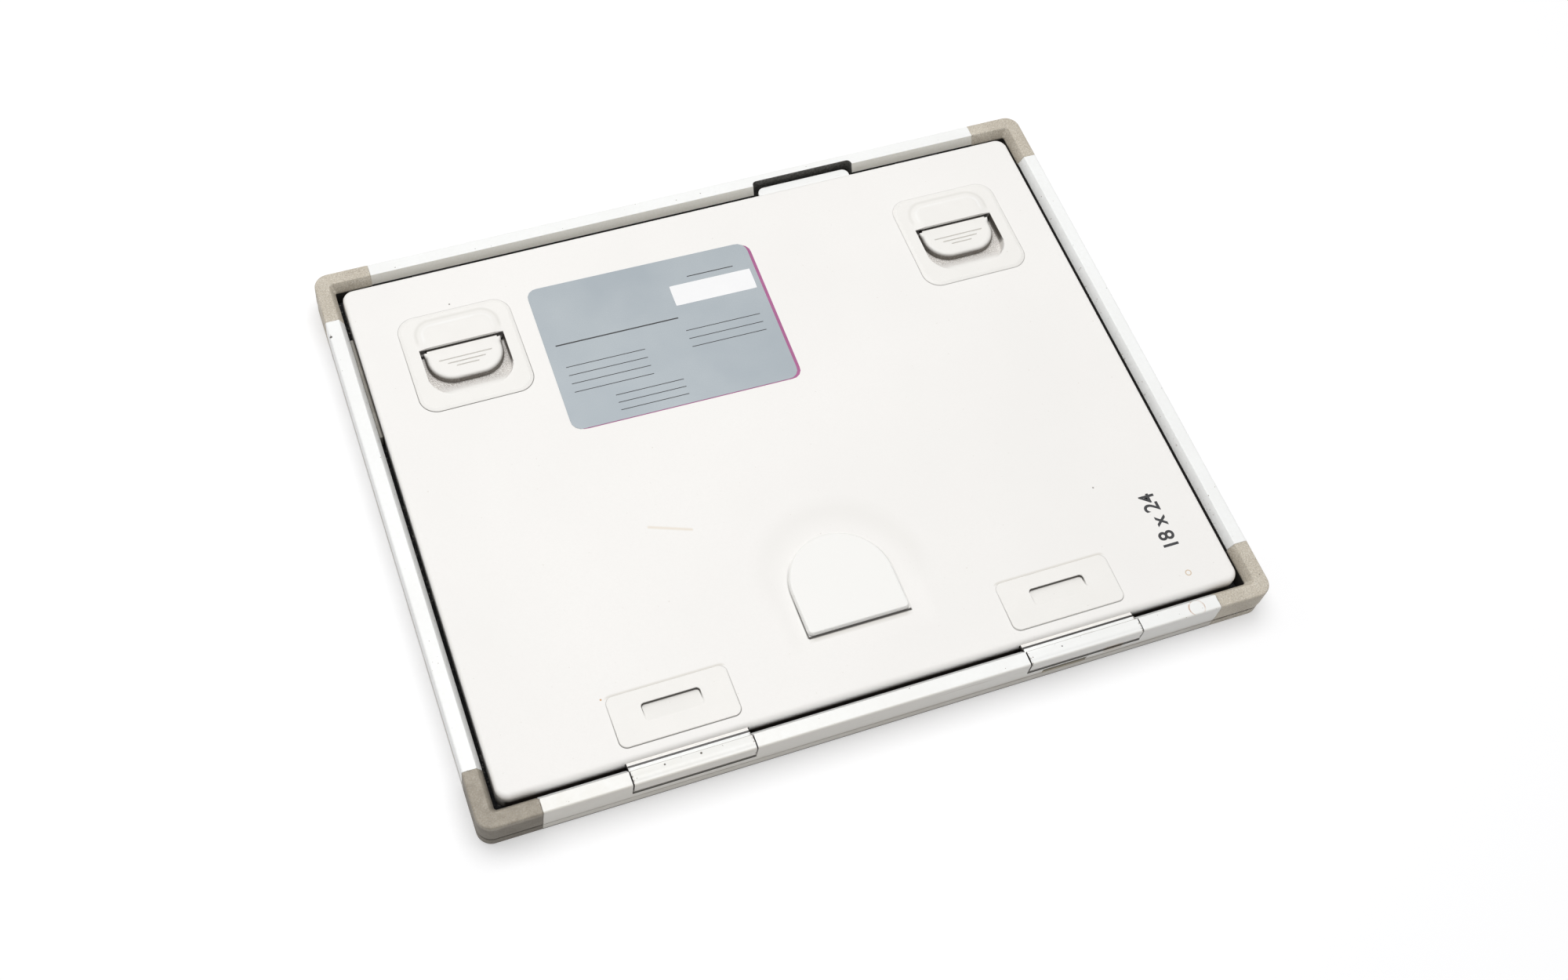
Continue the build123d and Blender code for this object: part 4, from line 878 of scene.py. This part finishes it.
TUB_HALF, TUB_FRONT, TUB_REAR = 16.35, 43.05, 76.65
PLUG_HALF_X, PLUG_HALF_Y = 16.95, 5.95
TAB_HALF, POST_HALF = 17.75, 4.1
cuts = []
for side in (-1, 1):
    latch, hinge = side * LATCH_X, side * HINGE_X
    plug_y = (PAD_Y - PLUG_HALF_Y, PAD_Y + PLUG_HALF_Y)
    cuts.append((latch - TUB_HALF, latch + TUB_HALF, TUB_FRONT, TUB_REAR, 8.0, 16.0))
    cuts.append((hinge - PLUG_HALF_X, hinge + PLUG_HALF_X, *plug_y, 8.0, 16.0))
    cuts.append((latch - BOLT_HALF, latch + BOLT_HALF, 92.0, 97.0, *BOLT_LEVELS))
    cuts.append((hinge - HINGE_HALF, hinge + HINGE_HALF, -97.0, -92.0, 9.9, 11.6))
cuts.append((NOTCH_X - TAB_HALF, NOTCH_X + TAB_HALF, 93.0, 97.0, 9.9, 11.6))
cuts.append((-POST_HALF, POST_HALF, CAP_ARCH - POST_HALF, CAP_ARCH + POST_HALF, 8.0, 16.0))
cut_away(lid, "lid_openings", cuts)


# --- Inside of the lid --------------------------------------------------------------------------------
# Stiff dark plate screwed to the cover's posts, a bowed spring and the latch guides on it, and below it the
# lead foil, the foam that presses the film flat, and the rear screen.
refinish(panel_finish, "latch_guide_left", "latch_guide_right", "lid_inner_plate")
zinc = coat(
    "zinc_screws", (178, 176, 170), (146, 144, 138), roughness=0.4, mottle=3.0, fine=0.3, relief=0.004,
    metallic=1.0
)
refinish(zinc, *[f"plate_screw_{number}" for number in range(1, 7)])
refinish(zinc, *[f"hinge_screw_{side}_{number}" for side in ("left", "right") for number in (1, 2)])
refinish(steel, "latch_bolt_left", "latch_bolt_right", "pressure_spring")

foam_finish = coat(
    "grey_foam_cells", (92, 92, 95), (62, 62, 65), roughness=0.95, mottle=20.0, fine=0.5, relief=0.2,
    specular=0.15
)
foam_low, foam_high = (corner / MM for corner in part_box("foam_pad"))
half_x, half_y, foam_thick = (foam_high - foam_low) / 2
x, y, rim, out = rounded_grid(half_x - 1.2, half_y - 1.2, 1.0, 1.0, even(half_x, 3.0), even(half_y, 3.0))
bulge = np.array([0.6, 1.05, 1.2, 1.05, 0.6])
rise = np.array([0.97, 0.78, 0.5, 0.22, 0.03]) * 2 * foam_thick + foam_low.z
ripple = 1 + 0.12 * np.sin(np.arange(len(rim)) * 0.9)
stand = bulge[:, None] * ripple / ripple.max()
points, faces = shell(x, y, rim, out, foam_high.z, foam_low.z, stand, rise)
foam = new_piece("foam_pad_cells", points, faces, "lid", "grey_foam", foam_finish, ["foam_pad"])


# --- Hinge leaves and lifting tab ---------------------------------------------------------------------
# Two extruded leaves under the same enamel as the rails, turning on the pins, and the tab of the lid that
# stands in the finger notch. The leaves are chipped at their ends.
leaf_enamel = variant(enamel, "white_enamel_chipped")
across_leaf = away_from(X, HINGE_X, mirrored=True)
chips = between(across_leaf, 19.25, 20.15, 0.3), patchy(0.9, 0.5, 0.6, detail=2.0)
stain(leaf_enamel, (120, 108, 96), *chips)
low_arm = along(Z, 12.4, 12.0)
# Where the leaf's arm runs in under the lid: near-white right next to the lid's wall, and painted shade on
# the strip before it, where the arm lies down in the gap.
stain(leaf_enamel, (246, 243, 238), along(Y, -96.35, -96.2), low_arm)
stain(leaf_enamel, (40, 36, 33), band(Y, -97.3, -96.28, 0.05), low_arm)
stain(leaf_enamel, (50, 46, 42), ramp(across_leaf, 19.52, 19.62))
stain(leaf_enamel, (160, 156, 150), band(Y, -98.85, -98.65, 0.08))
for x, y, size in ((-74.8, -99.8, 0.3), (-63.1, -99.7, 0.35), (58.0, -100.4, 0.25)):
    stain(leaf_enamel, (84, 78, 70), spot(x, y, size, 0.1))
for side, hinge in (("left", -HINGE_X), ("right", HINGE_X)):
    leaf = copy_of(f"hinge_leaf_{side}", f"hinge_leaf_{side}_skirt", "lid", leaf_enamel)
    cut_away(leaf, "strip_end", [(hinge - 21.0, hinge + 21.0, -97.15, -94.0, 11.75, 15.0)])
    round_edges(leaf, 0.12)
round_edges(copy_of("lid_tab", "lid_tab_lip", "lid", enamel), 0.3)


# --- Hinge pads ---------------------------------------------------------------------------------------
# Moulded cover pads in warm light grey over the leaves' screws. Each slopes down to the middle of the lid and
# has a finger grip that starts deep and ramps up to the hinge.
fitting = coat(
    "fitting_grey", (240, 238, 234), (235, 233, 229), roughness=0.46, mottle=14.0, fine=0.4, relief=0.012,
    specular=0.45
)
stain(fitting, (186, 178, 166), patchy(1.0, 0.79, 0.81, 0.0, 0.3, detail=1.0))
pad_finish = variant(fitting, "pad_grey")
# Painted shade: a dark line along the grip's wall, strongest at its far side.
grip_wall_shade = between(rim_distance(HINGE_X, PAD_Y + 0.8, 9.6, 3.0, 1.2), -0.26, 0.02, 0.08)
stain(pad_finish, (60, 56, 52), grip_wall_shade, along(Y, PAD_Y - 0.4, PAD_Y + 2.4), roughness=0.8)


def grip_heights(x, y):
    """Height above the lid: a slope from 0.5 down to 0.12 across the pad, less the grip's ramp, which is
    deepest at its far side. The grip's outline is a rounded slot, and its wall leans over 0.22."""
    slope = 0.5 - 0.38 * (y + PAD_HALF_Y) / (2 * PAD_HALF_Y)
    beyond = np.hypot(np.maximum(np.abs(x) - 8.4, 0), np.maximum(np.abs(y - 0.8) - 1.8, 0)) - 1.2
    deep = 1.3 * (y + 2.2) / 6.0
    return slope - np.maximum(deep, 0) * swell(-beyond / 0.22)


PAD_EDGE = 0.25
steps = even(PAD_HALF_X, 0.24), even(PAD_HALF_Y, 0.2)
x, y, rim, out = rounded_grid(PAD_HALF_X - PAD_EDGE, PAD_HALF_Y - PAD_EDGE, 2.25, 2.25, *steps)
top = LID_TOP + grip_heights(x, y)
plug = (np.abs(x) < PLUG_HALF_X - 0.2) & (np.abs(y) < PLUG_HALF_Y - 0.2)
bottom = np.where(plug, LID_UNDER, LID_TOP - 0.02)
edge = top.reshape(-1)[rim]
bend = np.radians(np.linspace(0, 90, 5))[1:]
stand = np.append(PAD_EDGE * np.sin(bend), PAD_EDGE)
height = edge - np.minimum(PAD_EDGE, edge - LID_TOP) * (1 - np.cos(bend))[:, None]
height = np.concatenate([height, [LID_TOP - 0.02 + 0 * edge]])
points, faces = shell(x, y, rim, out, top, bottom, stand, height)
for side, name in ((-1, "hinge_pad_left"), (1, "hinge_pad_right")):
    moved = points + (side * HINGE_X, PAD_Y, 0)
    new_piece(name + "_cover", moved, faces, "lid", "fitting_plastic", pad_finish, [name])


# --- Cap over the spring's fixing -----------------------------------------------------------------------
# Moulded cap, half round towards the middle of the lid and straight towards the hinge. It stands up at its
# straight edge, flush at the arch, and its sides have draft.
cap_finish = variant(fitting, "cap_grey")
stain(cap_finish, (241, 240, 237), along(Z, 12.0, 12.3))
# Painted shade at the foot of the cap's straight edge.
stain(cap_finish, (80, 76, 70), along(Z, 12.62, 12.45), along(Y, -72.0, -72.6))
CAP_EDGE = 0.75
cap_middle = (CAP_FRONT + CAP_ARCH + CAP_HALF) / 2
cap_half_y = (CAP_ARCH + CAP_HALF - CAP_FRONT) / 2
inner_x, inner_y = CAP_HALF - CAP_EDGE, cap_half_y - CAP_EDGE
steps = even(CAP_HALF, 0.7), even(cap_half_y, 0.7)
x, y, rim, out = rounded_grid(inner_x, inner_y, 0.9, inner_x - 0.01, *steps)
tilt = 1.0 - 0.95 * (y + cap_half_y) / (2 * cap_half_y)
top = LID_TOP + tilt - 0.012 * np.abs(x / CAP_HALF) ** 3
edge = top.reshape(-1)[rim]
floor = LID_TOP - 0.5
stand = np.array([0.1, 0.2, 0.28, CAP_EDGE - 0.05, CAP_EDGE])
drop = np.array([0.02, 0.08, 0.2])
height = np.concatenate([edge - drop[:, None], [floor + 0.25 * (edge - floor)], [0 * edge + floor]])
points, faces = shell(x, y, rim, out, top, floor, stand, height)
dressing = ("lid", "fitting_plastic", cap_finish, ["spring_cap"])
new_piece("spring_cap_cover", points + (0, cap_middle, 0), faces, *dressing)


# --- Latches ------------------------------------------------------------------------------------------
# Moulded bezel with a sloping flange, a finger scoop with a grained floor, and a hood that swells out of it.
# The thumb piece slides under the hood; its three finger lines are engraved.
HOOD_Y, HOOD_LENGTH, HOOD_HALF, HOOD_CORNER = 5.4, 11.6, 14.9, 6.5
SCOOP_HALF, SCOOP_LENGTH, SCOOP_DEPTH, SCOOP_CORNER = 14.7, 19.7, 3.5, 9.0
BEZEL_RISE = 0.5

bezel_finish = variant(fitting, "bezel_grey")
sunk, speckle = along(Z, 12.9, 12.0), patchy(0.35, 0.45, 0.62, 0.1, 1.0, detail=2.0)
stain(bezel_finish, (218, 213, 209), sunk, speckle, roughness=0.8)
hood_away = rim_distance(LATCH_X, BEZEL_Y + HOOD_Y, HOOD_HALF, HOOD_LENGTH, HOOD_CORNER)
behind = along(Y, 66.0, 68.0)
# Painted shade just inside the hood's rear outline, and a painted highlight further in on its rear slope.
stain(bezel_finish, (226, 224, 219), behind, between(hood_away, -1.0, -0.1, 0.5))
glint = between(hood_away, -3.2, -2.4, 0.4), patchy(9.0, 0.35, 0.55, 0.1, 0.45)
stain(bezel_finish, (253, 253, 252), behind, *glint)
thumb_away = rim_distance(LATCH_X, 57.05, 13.4, 6.25, 5.5)
# Painted shade on the scoop's floor close round the thumb piece, in specks.
stain(bezel_finish, (170, 163, 156), sunk, ramp(thumb_away, 3.2, 0.2), speckle, roughness=0.8)
across_latch = away_from(X, LATCH_X, mirrored=True)
# Painted shade: near black where the hollow under the hood shows at both ends of the slit, and a dark line
# down the scoop's side walls.
slit_end_shade = between(across_latch, 13.2, 14.9, 0.1), band(Y, 63.1, 64.42, 0.3)
stain(bezel_finish, (30, 27, 24), *slit_end_shade, along(Z, 13.2, 12.9))
wall_line = between(across_latch, 14.45, 14.85, 0.1), band(Y, 52.5, 64.4, 1.5)
stain(bezel_finish, (84, 78, 72), *wall_line, along(Z, 13.25, 13.0))


def slot_distance(x, y, half, far, corner):
    """Distance inside a rectangle from minus half to half and up to far, whose two far corners are round."""
    past_x = np.maximum(np.abs(x) - (half - corner), 0)
    past_y = np.maximum(y - (far - corner), 0)
    straight = np.minimum(half - np.abs(x), far - y)
    return np.where((past_x > 0) & (past_y > 0), corner - np.hypot(past_x, past_y), straight)


def bezel_heights(x, y):
    """Height above the lid: the flange, the hood swelling over 4.4 inside its outline, and the scoop, whose
    walls lean over 0.3, and whose floor rises to the flange in a smooth step."""
    hood = 0.7 * swell(slot_distance(x, y - HOOD_Y, HOOD_HALF, HOOD_LENGTH, HOOD_CORNER) / 4.4) ** 0.75
    wall = swell(slot_distance(x, HOOD_Y - y, SCOOP_HALF, SCOOP_LENGTH, SCOOP_CORNER) / 0.3)
    run = swell((y - HOOD_Y + SCOOP_LENGTH) / 6.4)
    return BEZEL_RISE + np.where(y > HOOD_Y, hood, -SCOOP_DEPTH * run * wall)


inner_x, inner_y = FLANGE_X - 1.3, FLANGE_Y - 1.3
mouth = np.array([HOOD_Y - 0.03, HOOD_Y + 0.03]) / inner_y
steps_y = np.sort(np.concatenate([even(inner_y, 0.28), mouth]))
x, y, rim, out = rounded_grid(inner_x, inner_y, 4.7, 4.7, even(inner_x, 0.28), steps_y)
top = LID_TOP + bezel_heights(x, y)
tub = (np.abs(x) < 16.2) & (y > 43.2 - BEZEL_Y) & (y < 76.5 - BEZEL_Y)
bottom = np.where(tub, 9.0, LID_TOP - 0.02)
stand = np.array([0.12, 0.24, 1.12, 1.24, 1.3, 1.3])
height = LID_TOP + np.array([0.5, 0.47, 0.2, 0.15, 0.07, -0.02])
points, faces = shell(x, y, rim, out, top, bottom, stand, height)
hollow = arched(14.3, -0.5, 11.0, 5.9, 9) + (0, BEZEL_Y + HOOD_Y)
for side, name in ((-1, "left"), (1, "right")):
    latch = side * LATCH_X
    dressing = ("lid", "fitting_plastic", bezel_finish, [f"latch_bezel_{name}"])
    bezel = new_piece(f"latch_bezel_{name}_moulding", points + (latch, BEZEL_Y, 0), faces, *dressing)
    cut_away(bezel, "stem_run", [(latch - 4.3, latch + 4.3, 63.5, 72.1, 8.0, 9.9)])
    cut_prism(bezel, "hood_cavity", hollow + (latch, 0), Z, 9.72, 12.86)

THUMB_HALF, THUMB_FRONT, THUMB_REAR = 13.4, 50.8, 63.3
THUMB_ROUND, THUMB_EDGE = 9.0, 1.9
THUMB_TOP, THUMB_LOW, BOLT_HIGH = 12.7, 10.0, 8.9
thumb_finish = variant(fitting, "thumb_piece_grey")
in_lines = band(Z, 12.4, 12.66, 0.02), band(Y, 55.2, 59.4, 0.1), ramp(across_latch, 9.7, 9.5)
stain(thumb_finish, (196, 192, 186), *in_lines)
# Painted shade on the thumb piece's edges as they round over and down, and near black on its tongue under the
# hood.
front_roll_shade = along(Z, 12.5, 11.7), patchy(0.5, 0.3, 0.7, 0.85, 1.0)
stain(thumb_finish, (92, 86, 78), *front_roll_shade, roughness=0.7)
stain(thumb_finish, (48, 44, 40), along(Y, 63.62, 63.8), roughness=0.9)


def thumb_heights(x, y):
    """Depth below the thumb piece's face of its three finger lines, each a soft groove 0.15 deep."""
    depth = 0 * x
    for setback, length in ((4.3, 19.0), (6.0, 13.8), (7.5, 8.2)):
        across = swell((0.26 - np.abs(y - THUMB_REAR + setback)) / 0.16)
        depth = np.maximum(depth, 0.15 * across * swell((length / 2 - np.abs(x)) / 0.5))
    return depth


arc = np.radians(np.linspace(0, 90, 19))
flat_half = THUMB_HALF - THUMB_ROUND
inner_round = THUMB_ROUND - THUMB_EDGE
right_x = flat_half + inner_round * np.sin(arc)
right_y = THUMB_FRONT + THUMB_ROUND - inner_round * np.cos(arc)
flat_x = flat_half * even(flat_half, 0.3)[1:-1]
across_x = np.concatenate([-right_x[::-1], flat_x, right_x])
front_y = np.concatenate([right_y[::-1], 0 * flat_x + THUMB_FRONT + THUMB_EDGE, right_y])
back = np.linspace(0, 1, 64)[:, None]
y = front_y + (THUMB_REAR - THUMB_EDGE - front_y) * back
x = across_x + 0 * y
rim = rim_numbers(x.shape)
out = np.zeros(x.shape + (2,))
out[0, :, 0] = np.concatenate([-np.sin(arc)[::-1], 0 * flat_x, np.sin(arc)])
out[0, :, 1] = -np.concatenate([np.cos(arc)[::-1], 0 * flat_x + 1, np.cos(arc)])
out[1:, 0, 0], out[1:, -1, 0], out[-1, :, 1] = -1, 1, 1
out = out.reshape(-1, 2)[rim]
edge = THUMB_EDGE - (THUMB_EDGE - 0.2) * swell(out[:, 1])
bend = np.radians(np.linspace(0, 90, 9))[:, None]
stand = THUMB_EDGE - edge + edge * np.sin(bend)
height = THUMB_TOP - edge + edge * np.cos(bend)
stand = np.concatenate([stand, [THUMB_EDGE + 0 * edge]])
height = np.concatenate([height, [THUMB_LOW + 0 * edge]])
points, faces = shell(x, y, rim, out, THUMB_TOP - thumb_heights(x, y), THUMB_LOW, stand, height)
tongue = (-12.2, 12.2, THUMB_REAR - 0.2, THUMB_REAR + 4.6, THUMB_LOW + 0.02, THUMB_TOP - 0.02)
stem = (-4.0, 4.0, 63.8, 66.8, BOLT_HIGH, THUMB_LOW + 0.05)
more_points, more_faces = blocks([tongue, stem])
faces = np.concatenate([faces, more_faces + len(points)])
points = np.concatenate([points, more_points])
for side, name in ((-1, "left"), (1, "right")):
    dressing = (f"latch_{name}", "fitting_plastic", thumb_finish, [f"thumb_piece_{name}"])
    new_piece(f"thumb_piece_{name}_slide", points + (side * LATCH_X, 0, 0), faces, *dressing)


# --- Label and markings -------------------------------------------------------------------------------
# Foil label in matt silver over the edge of an older magenta one, with a white box to write a date in, and
# the film size printed on the cover. All of it is blank but for ruled lines and the size.
silver = coat(
    "label_silver", (168, 175, 179), (148, 157, 164), roughness=0.42, mottle=30.0, fine=0.3, relief=0.003,
    metallic=0.15
)
magenta = coat(
    "label_magenta", (170, 92, 142), (150, 76, 124), roughness=0.5, mottle=10.0, fine=0.4, relief=0.003
)
label_white = coat(
    "label_box_white", (244, 244, 244), (238, 238, 239), roughness=0.55, mottle=10.0, fine=0.3, relief=0.002
)
ink = coat(
    "printing_ink_black", (24, 24, 27), (36, 36, 40), roughness=0.5, mottle=4.0, fine=0.3, relief=0.002
)
LABEL_MIDDLE = (-25.0, 48.4)
PRINT_LOW, PRINT_HIGH = LID_TOP + 0.10, LID_TOP + 0.13
turn = math.radians(-0.9)
SPIN = np.array([(math.cos(turn), math.sin(turn), 0), (-math.sin(turn), math.cos(turn), 0), (0, 0, 1)])


def sticker(name, middle, half, corner, low, high, finish):
    """Thin sheet stuck on the lid, turned a little round its own middle."""
    grid = rounded_grid(*half, corner, corner, even(half[0], 2.0), even(half[1], 2.0))
    points, faces = shell(*grid, high, low, np.array([0.0]), np.array([high - 0.01]))
    new_piece(name, points @ SPIN + (*middle, 0), faces, "lid", "fitting_plastic", finish)


sticker("older_label", (-23.9, 47.9), (40.2, 29.0), 3.6, LID_TOP - 0.02, LID_TOP + 0.05, magenta)
sticker("silver_label", LABEL_MIDDLE, (40.2, 29.2), 3.6, LID_TOP + 0.04, LID_TOP + 0.11, silver)
sticker("date_box", (-1.4, 61.7), (14.9, 4.2), 0.2, PRINT_LOW, PRINT_HIGH, label_white)

rules = [(-14.5, 4.6, 44.0, 0.5), (24.4, 20.4, 17.0, 0.35)]
rules += [(-21.5, line, 28.0, 0.28) for line in (-4.6, -8.0, -11.4, -14.8)]
rules += [(22.0, line, 27.0, 0.28) for line in (-1.2, -4.6, -8.0)]
rules += [(-10.5, line, 24.0, 0.28) for line in (-19.6, -22.6, -25.6)]
x, y, width, depth = np.array(rules, float).T
level = (PRINT_LOW + 0 * x, PRINT_HIGH + 0 * x)
limits = np.stack([x - width / 2, x + width / 2, y - depth / 2, y + depth / 2, *level], 1)
points, faces = blocks(limits)
new_piece("label_rules", points @ SPIN + (*LABEL_MIDDLE, 0), faces, "lid", "fitting_plastic", ink)

text = bpy.data.curves.new("size_mark", "FONT")
text.body = "18 x 24"
text.offset = 0.018
lettering = bpy.data.objects.new("size_mark_text", text)
bpy.context.collection.objects.link(lettering)
bpy.context.view_layer.update()
shape = lettering.evaluated_get(bpy.context.evaluated_depsgraph_get())
size_mark = bpy.data.meshes.new_from_object(shape)
size_mark.name = "size_mark_print"
bpy.data.objects.remove(lettering)
flat = np.empty(3 * len(size_mark.vertices))
size_mark.vertices.foreach_get("co", flat)
flat = flat.reshape(-1, 3)
unit = (flat - flat.min(0))[:, :2] / np.ptp(flat[:, :2], 0)
MARK_X, MARK_Y, MARK_WIDTH, MARK_HEIGHT = 108.9, -78.0, 20.2, 5.6
across = MARK_X - MARK_HEIGHT * (unit[:, 1] - 0.5)
placed = np.stack([across, MARK_Y + MARK_WIDTH * unit[:, 0], 0 * across + LID_TOP + 0.03], 1)
size_mark.vertices.foreach_set("co", (placed * MM).reshape(-1))
dress("size_mark_print", size_mark, "lid", ink)
